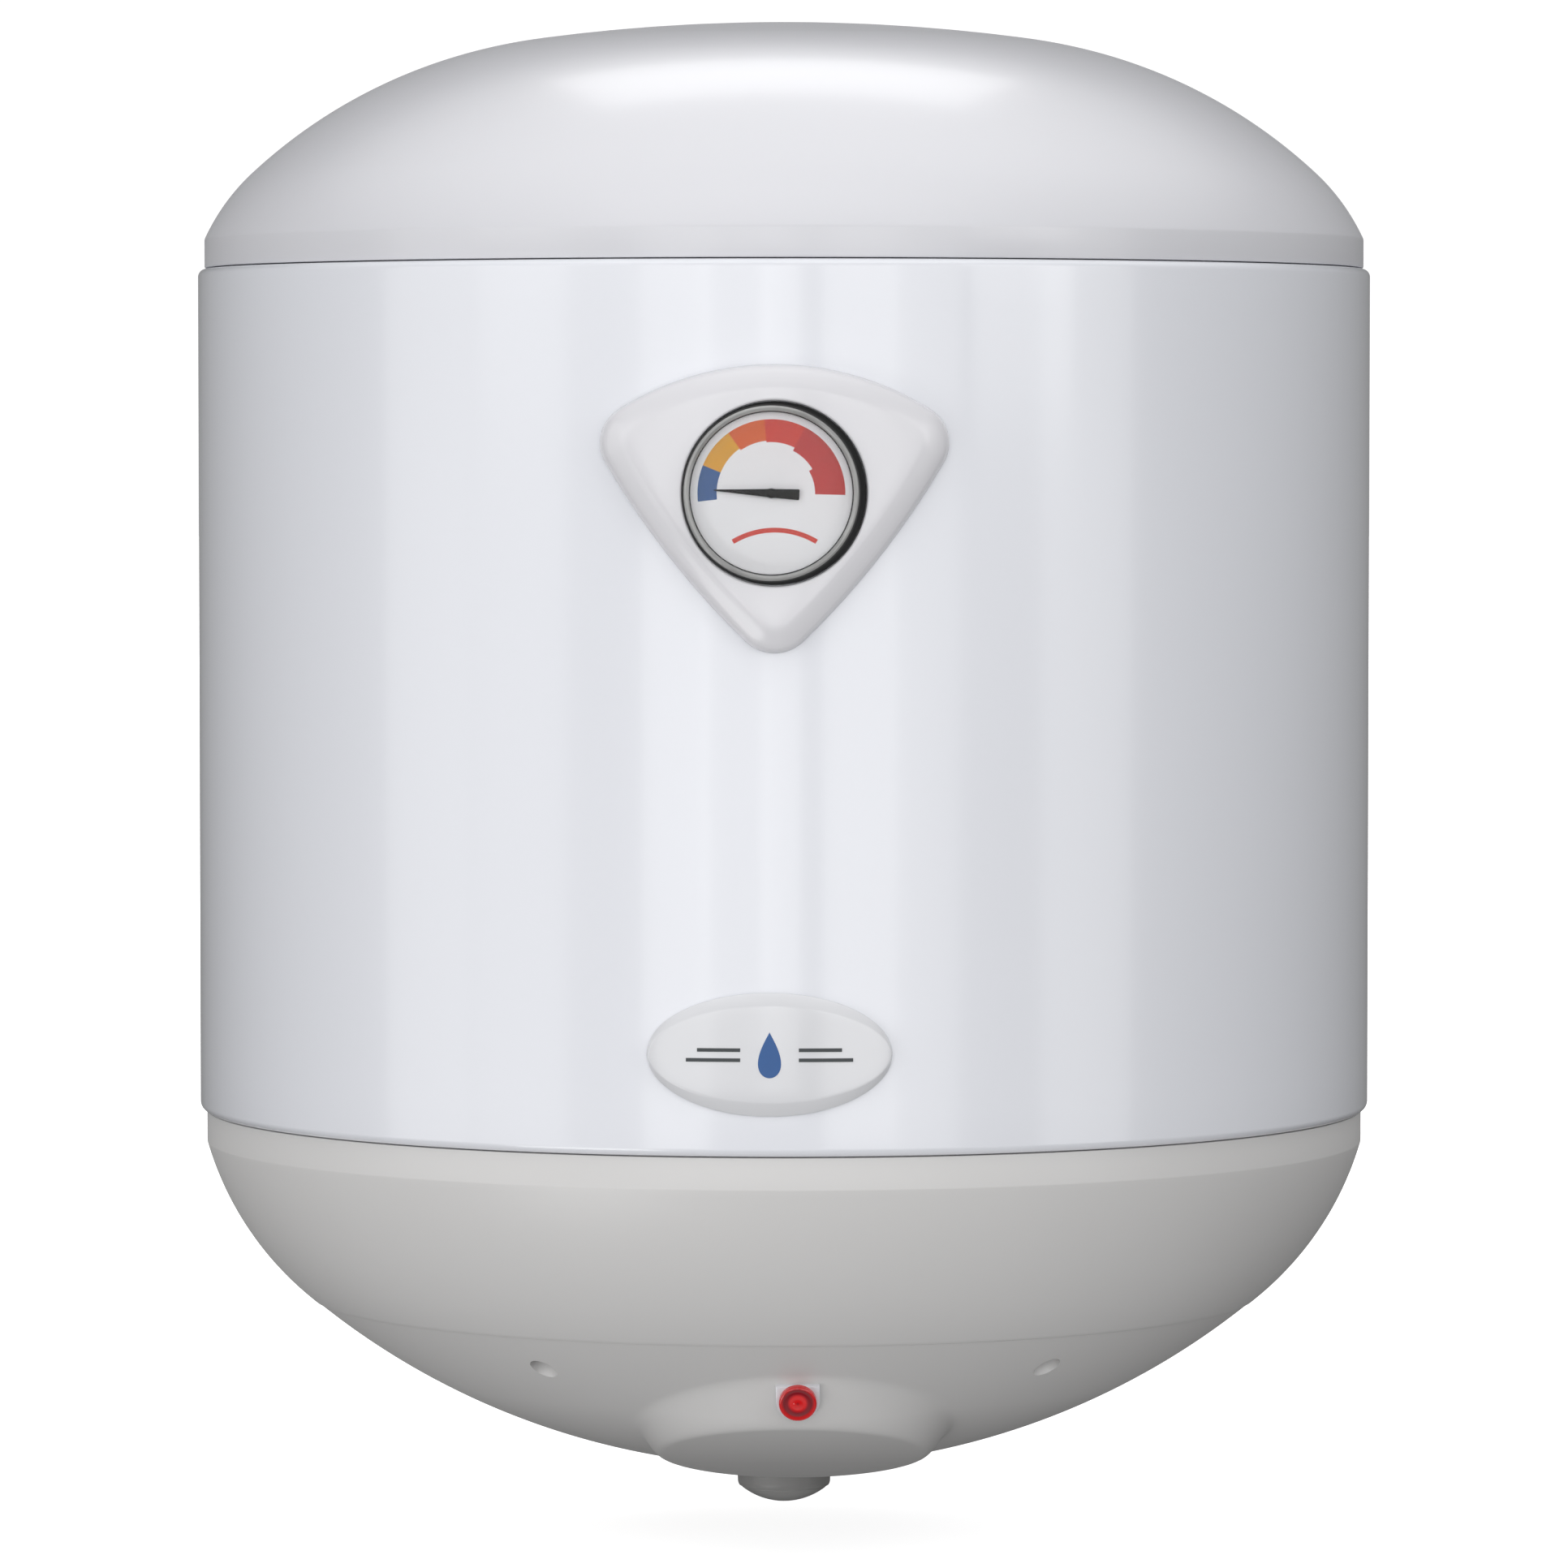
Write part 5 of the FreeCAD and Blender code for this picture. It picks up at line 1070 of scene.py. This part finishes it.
KNOB_R = radius_mm("control_knob")
KNOB_TOP = box_mm("control_knob")[1].z
KNOB_LOW = box_mm("control_knob")[0].z
KNOB_RIM_LOW = -395.2


def make_knob():
    face_r = KNOB_R - 1.9
    face_z = KNOB_RIM_LOW - 0.2
    rise = face_z - KNOB_LOW
    outline = [
        (0.0, -392.0),
        (3.05, -392.0),
        (3.05, KNOB_TOP),
        (KNOB_R - 0.9, KNOB_TOP),
        (KNOB_R, KNOB_TOP - 0.9, 0.9, CLOCKWISE),
        (KNOB_R - 0.25, KNOB_RIM_LOW + 2.6),
        (KNOB_R - 0.8, KNOB_RIM_LOW + 0.6, 3.4, CLOCKWISE),
        (KNOB_R - 1.1, KNOB_RIM_LOW + 0.5),
        (KNOB_R - 1.7, KNOB_RIM_LOW + 1.3),
        (face_r, KNOB_RIM_LOW + 1.3),
        (face_r, face_z),
        (0.0, KNOB_LOW, (face_r ** 2 + rise ** 2) / (2 * rise), CLOCKWISE),
    ]

    def grip(angle, height):
        """Fine grip flutes on the rim only."""
        flutes, depth = 48, 0.004
        on_rim = KNOB_RIM_LOW + 3.0 < height < KNOB_TOP - 0.5
        return 1.0 - depth * (0.5 + 0.5 * math.cos(angle * flutes)) if on_rim else 1.0

    knob = object_of("knob_moulding", turned(outline, 288, 3.0, grip), standing(AXIS))
    groove = [(-0.5, 7.0), (0.5, 7.0), (0.5, 14.5), (-0.5, 14.5)]
    groove_depth = 1.4
    pointer = prism(groove, KNOB_LOW - 2.0, KNOB_LOW + groove_depth)
    combine(knob, "DIFFERENCE", [(pointer, standing(AXIS, 0.0, 180.0))])
    finished(knob, "knob_plastic", "knob", ["control_knob"])


THREAD_PITCH = 1.814
THREAD_DEPTH = 1.05
THREAD_LONG = 13.4


def make_nipple(node):
    """A steel nipple with a half-inch parallel thread on its lower end."""
    spot = PIPES[node]
    around, per_turn = 96, 12
    plain_r, bore_r = PIPE_R - 0.4, 8.0
    lead, fade_over = 1.1, 1.2
    rows = int(THREAD_LONG / THREAD_PITCH * per_turn)
    angles = [2 * math.pi * step / around for step in range(around)]

    def bore_at(height):
        return [(bore_r * math.cos(angle), bore_r * math.sin(angle), height) for angle in angles]

    heights = [PIPE_LOW, PIPE_LOW + 0.2]
    heights += [PIPE_LOW + 0.4 + THREAD_LONG * row / rows for row in range(rows + 1)]
    heights += [PIPE_LOW + THREAD_LONG + 1.6, PIPE_TOP]
    rings = [bore_at(PIPE_TOP), bore_at(PIPE_LOW)]
    for height in heights:
        up = height - PIPE_LOW
        to_end = PIPE_LOW + THREAD_LONG + 0.9 - height
        fade = min(1.0, up / fade_over, max(0.0, to_end / fade_over))
        lead_in = lead * max(0.0, 1.0 - up / lead)
        base = PIPE_R if height <= PIPE_LOW + THREAD_LONG + 0.5 else plain_r
        ring = []
        for step, angle in enumerate(angles):
            phase = (up / THREAD_PITCH - step / around) % 1.0
            groove = THREAD_DEPTH * min(1.0, max(0.0, 1.25 - abs(phase - 0.5) * 2.6))
            radius = base - max(lead_in, groove * max(0.0, fade))
            ring.append((radius * math.cos(angle), radius * math.sin(angle), height))
        rings.append(ring)
    nipple = object_of(node.replace("nipple", "thread"), skin(rings), standing(spot))
    finished(nipple, "pipe_steel", replaces=[node], sharp=35.0)


def make_collar_ring(node, slot):
    low, high = box_mm(node)
    spot = Vector((middle_mm(node).x, middle_mm(node).y, 0.0))
    outline = [
        (PIPE_R + 0.3, low.z + 0.3),
        (PIPE_R + 0.8, low.z, 0.4, ANTICLOCKWISE),
        (COLLAR_R - 0.9, low.z),
        (COLLAR_R + 0.4, low.z + 1.3, 1.3, ANTICLOCKWISE),
        (COLLAR_R + 0.4, COLLAR_LOW - 0.1),
        (PIPE_R + 1.8, COLLAR_LOW - 0.1),
        (PIPE_R + 1.8, high.z),
        (PIPE_R + 0.3, high.z),
    ]
    ring = object_of(node + "_moulding", turned(outline, 96, 8.0), standing(spot))
    finished(ring, slot, replaces=[node])


def make_gland():
    low, high = box_mm("cable_gland")
    outer = radius_mm("cable_gland")
    outline = [
        (4.5, low.z + 0.6),
        (5.4, low.z, 0.9, ANTICLOCKWISE),
        (outer - 1.4, low.z),
        (outer, low.z + 1.4, 1.4, ANTICLOCKWISE),
        (outer, GLAND_COLLAR_LOW - 0.1),
        (10.0, GLAND_COLLAR_LOW - 0.1),
        (10.0, high.z),
        (4.5, high.z),
    ]

    def ribs(angle, height):
        """Ribs on the part below the collar only."""
        count, depth = 20, 0.02
        if height >= GLAND_COLLAR_LOW:
            return 1.0
        return 1.0 - depth * (0.5 + 0.5 * math.cos(angle * count))

    gland = object_of("gland_moulding", turned(outline, 160, 12.0, ribs), standing(GLAND))
    finished(gland, "black_plastic", replaces=["cable_gland"])


# ---------------------------------------------------------------- stage, lights and camera

def make_camera():
    """At the viewing distance of a long lens, a little above the middle of the heater."""
    back, up, tilt = 3096.0, 15.9, 2.57
    lens = bpy.data.cameras.new("camera")
    lens.lens = 184.3
    lens.sensor_width = 36.0
    lens.clip_end = 100.0
    camera = bpy.data.objects.new("camera", lens)
    camera.location = (0.0, (AXIS.y - back) * MM, up * MM)
    camera.rotation_euler = (math.radians(90.0 - tilt), 0.0, 0.0)
    bpy.context.scene.collection.objects.link(camera)
    bpy.context.scene.camera = camera


LIGHTS = {
    # name: (azimuth from the front towards +X, elevation, distance in metres, width, height, power)
    "strip_left_70": (-70.0, 6.0, 2.6, 0.9, 2.2, 7.1),
    "strip_left_50": (-50.0, 6.0, 2.6, 0.9, 2.2, 6.1),
    "high_left_42": (-42.0, 17.4, 2.8, 1.7, 1.5, 6.0),
    "low_left_40": (-40.0, -32.0, 2.6, 1.2, 0.9, 10.7),
    "strip_left_20": (-20.0, 6.0, 3.6, 0.8, 2.4, 11.3),
    "strip_left_9": (-9.0, 8.0, 4.4, 1.0, 2.4, 9.8),
    "strip_left_0": (-0.5, 8.0, 4.4, 0.55, 2.4, 9.2),
    "over_back": (0.0, 122.0, 2.4, 1.17, 0.75, 5.7),
    "over_front": (0.0, 62.0, 2.4, 2.2, 0.9, 2.4),
    "strip_right_14": (14.0, 6.0, 3.8, 0.9, 2.4, 13.8),
    "high_right_25": (25.0, 17.4, 2.8, 0.9, 1.5, 0.3),
    "strip_right_26": (26.0, 6.0, 3.0, 0.7, 2.2, 5.1),
    "high_right_45": (45.0, 17.4, 2.8, 1.0, 1.5, 9.0),
    "strip_right_58": (58.0, 6.0, 2.6, 0.9, 2.2, 7.2),
}
WORLD_STRENGTH = 1.588
# Brightness of the room from straight below to straight above, in even steps.
SKY = (0.359, 0.000, 0.145, 0.000, 1.000)
AIM = Vector((0.0, -0.242, -0.10))


def make_lights():
    for name, (azimuth, elevation, distance, width, height, power) in LIGHTS.items():
        light = bpy.data.lights.new(name, "AREA")
        light.shape = "RECTANGLE"
        light.size = width
        light.size_y = height
        light.energy = power
        turn, lift = math.radians(azimuth), math.radians(elevation)
        level_way = math.cos(lift)
        way = Vector((math.sin(turn) * level_way, -math.cos(turn) * level_way, math.sin(lift)))
        lamp = bpy.data.objects.new(name, light)
        lamp.location = AIM + way * distance
        lamp.rotation_euler = way.to_track_quat("Z", "Y").to_euler()
        bpy.context.scene.collection.objects.link(lamp)


def make_world():
    world = bpy.data.worlds.new("studio")
    world.use_nodes = True
    nodes, links = world.node_tree.nodes, world.node_tree.links
    where = nodes.new("ShaderNodeTexCoord")
    split = nodes.new("ShaderNodeSeparateXYZ")
    ramp = nodes.new("ShaderNodeValToRGB")
    shift = nodes.new("ShaderNodeMapRange")
    shift.inputs["From Min"].default_value = -1.0
    links.new(where.outputs["Generated"], split.inputs[0])
    links.new(split.outputs["Z"], shift.inputs["Value"])
    links.new(shift.outputs["Result"], ramp.inputs["Fac"])
    links.new(ramp.outputs["Color"], nodes["Background"].inputs["Color"])
    greys = [(shade, shade, shade, 1.0) for shade in SKY]
    stops = ramp.color_ramp.elements
    stops[0].color = greys[0]
    stops[1].color = greys[-1]
    for number in range(1, len(greys) - 1):
        stops.new(number / (len(greys) - 1)).color = greys[number]
    nodes["Background"].inputs["Strength"].default_value = WORLD_STRENGTH
    bpy.context.scene.world = world


ROOM_GLOW = 1.05
# The floor's glow under the heater and well away from it, and the distances in metres of the two. The lower glow
# near the heater is a painted shade there.
FLOOR_GLOW = (0.74, 1.05)
FLOOR_GLOW_REACH = (0.4, 1.3)
FLOOR_HALF, FLOOR_DROP = 30.0, 0.02
ROOM_R = 28.0


def room_finish():
    material, _, _, shader = new_finish("room")
    shader.inputs["Base Color"].default_value = (0.0, 0.0, 0.0, 1.0)
    shader.inputs["Emission Color"].default_value = (1.0, 1.0, 1.0, 1.0)
    shader.inputs["Emission Strength"].default_value = ROOM_GLOW
    return material


def floor_finish():
    """Pale floor that takes a faint shadow under the heater, partly cast by the lights and partly painted as a
    dimmer glow near the heater, and is clear from below.
    """
    material, nodes, links, shader = new_finish("floor")
    shader.inputs["Base Color"].default_value = (0.9, 0.9, 0.9, 1.0)
    shader.inputs["Roughness"].default_value = 0.9
    shader.inputs["Emission Color"].default_value = (1.0, 1.0, 1.0, 1.0)
    where = nodes.new("ShaderNodeTexCoord")
    away = nodes.new("ShaderNodeVectorMath")
    away.operation = "LENGTH"
    links.new(where.outputs["Object"], away.inputs[0])
    glow = level(nodes, links, away.outputs["Value"], *FLOOR_GLOW, *FLOOR_GLOW_REACH)
    links.new(glow, shader.inputs["Emission Strength"])
    side = nodes.new("ShaderNodeNewGeometry")
    clear = nodes.new("ShaderNodeBsdfTransparent")
    mix = nodes.new("ShaderNodeMixShader")
    links.new(side.outputs["Backfacing"], mix.inputs[0])
    links.new(shader.outputs[0], mix.inputs[1])
    links.new(clear.outputs[0], mix.inputs[2])
    links.new(mix.outputs[0], nodes["Material Output"].inputs["Surface"])
    return material


def only_for_the_eye(item):
    """The stage shows white behind the heater and sends no light or reflection onto it."""
    item.visible_diffuse = False
    item.visible_glossy = False
    item.visible_shadow = False
    item.visible_transmission = False
    item.visible_volume_scatter = False


def make_stage():
    """A pale floor under the heater, and a pale room round it."""
    floor_mesh = bmesh.new()
    bmesh.ops.create_grid(floor_mesh, x_segments=8, y_segments=8, size=FLOOR_HALF)
    low = cad_box[0].z - FLOOR_DROP
    floor = object_of("floor", floor_mesh, Matrix.Translation((0.0, 0.0, low)))
    floor.data.materials.append(floor_finish())
    only_for_the_eye(floor)
    room_mesh = bmesh.new()
    bmesh.ops.create_uvsphere(room_mesh, u_segments=48, v_segments=24, radius=ROOM_R)
    bmesh.ops.reverse_faces(room_mesh, faces=room_mesh.faces)
    room = object_of("room", room_mesh, Matrix.Identity(4))
    room.data.materials.append(room_finish())
    only_for_the_eye(room)


make_jacket()
make_top_cap()
make_bottom_cap()
make_service_cover()
make_lamp_seat()
make_panel()
make_gauge()
make_needle()
make_badge()
make_lamp_lens()
make_knob()
make_nipple("cold_inlet_nipple")
make_nipple("hot_outlet_nipple")
make_collar_ring("cold_ring", "blue_plastic")
make_collar_ring("hot_ring", "red_plastic")
make_gland()
make_stage()
make_lights()
make_world()
make_camera()
bpy.context.scene.view_settings.view_transform = "Standard"
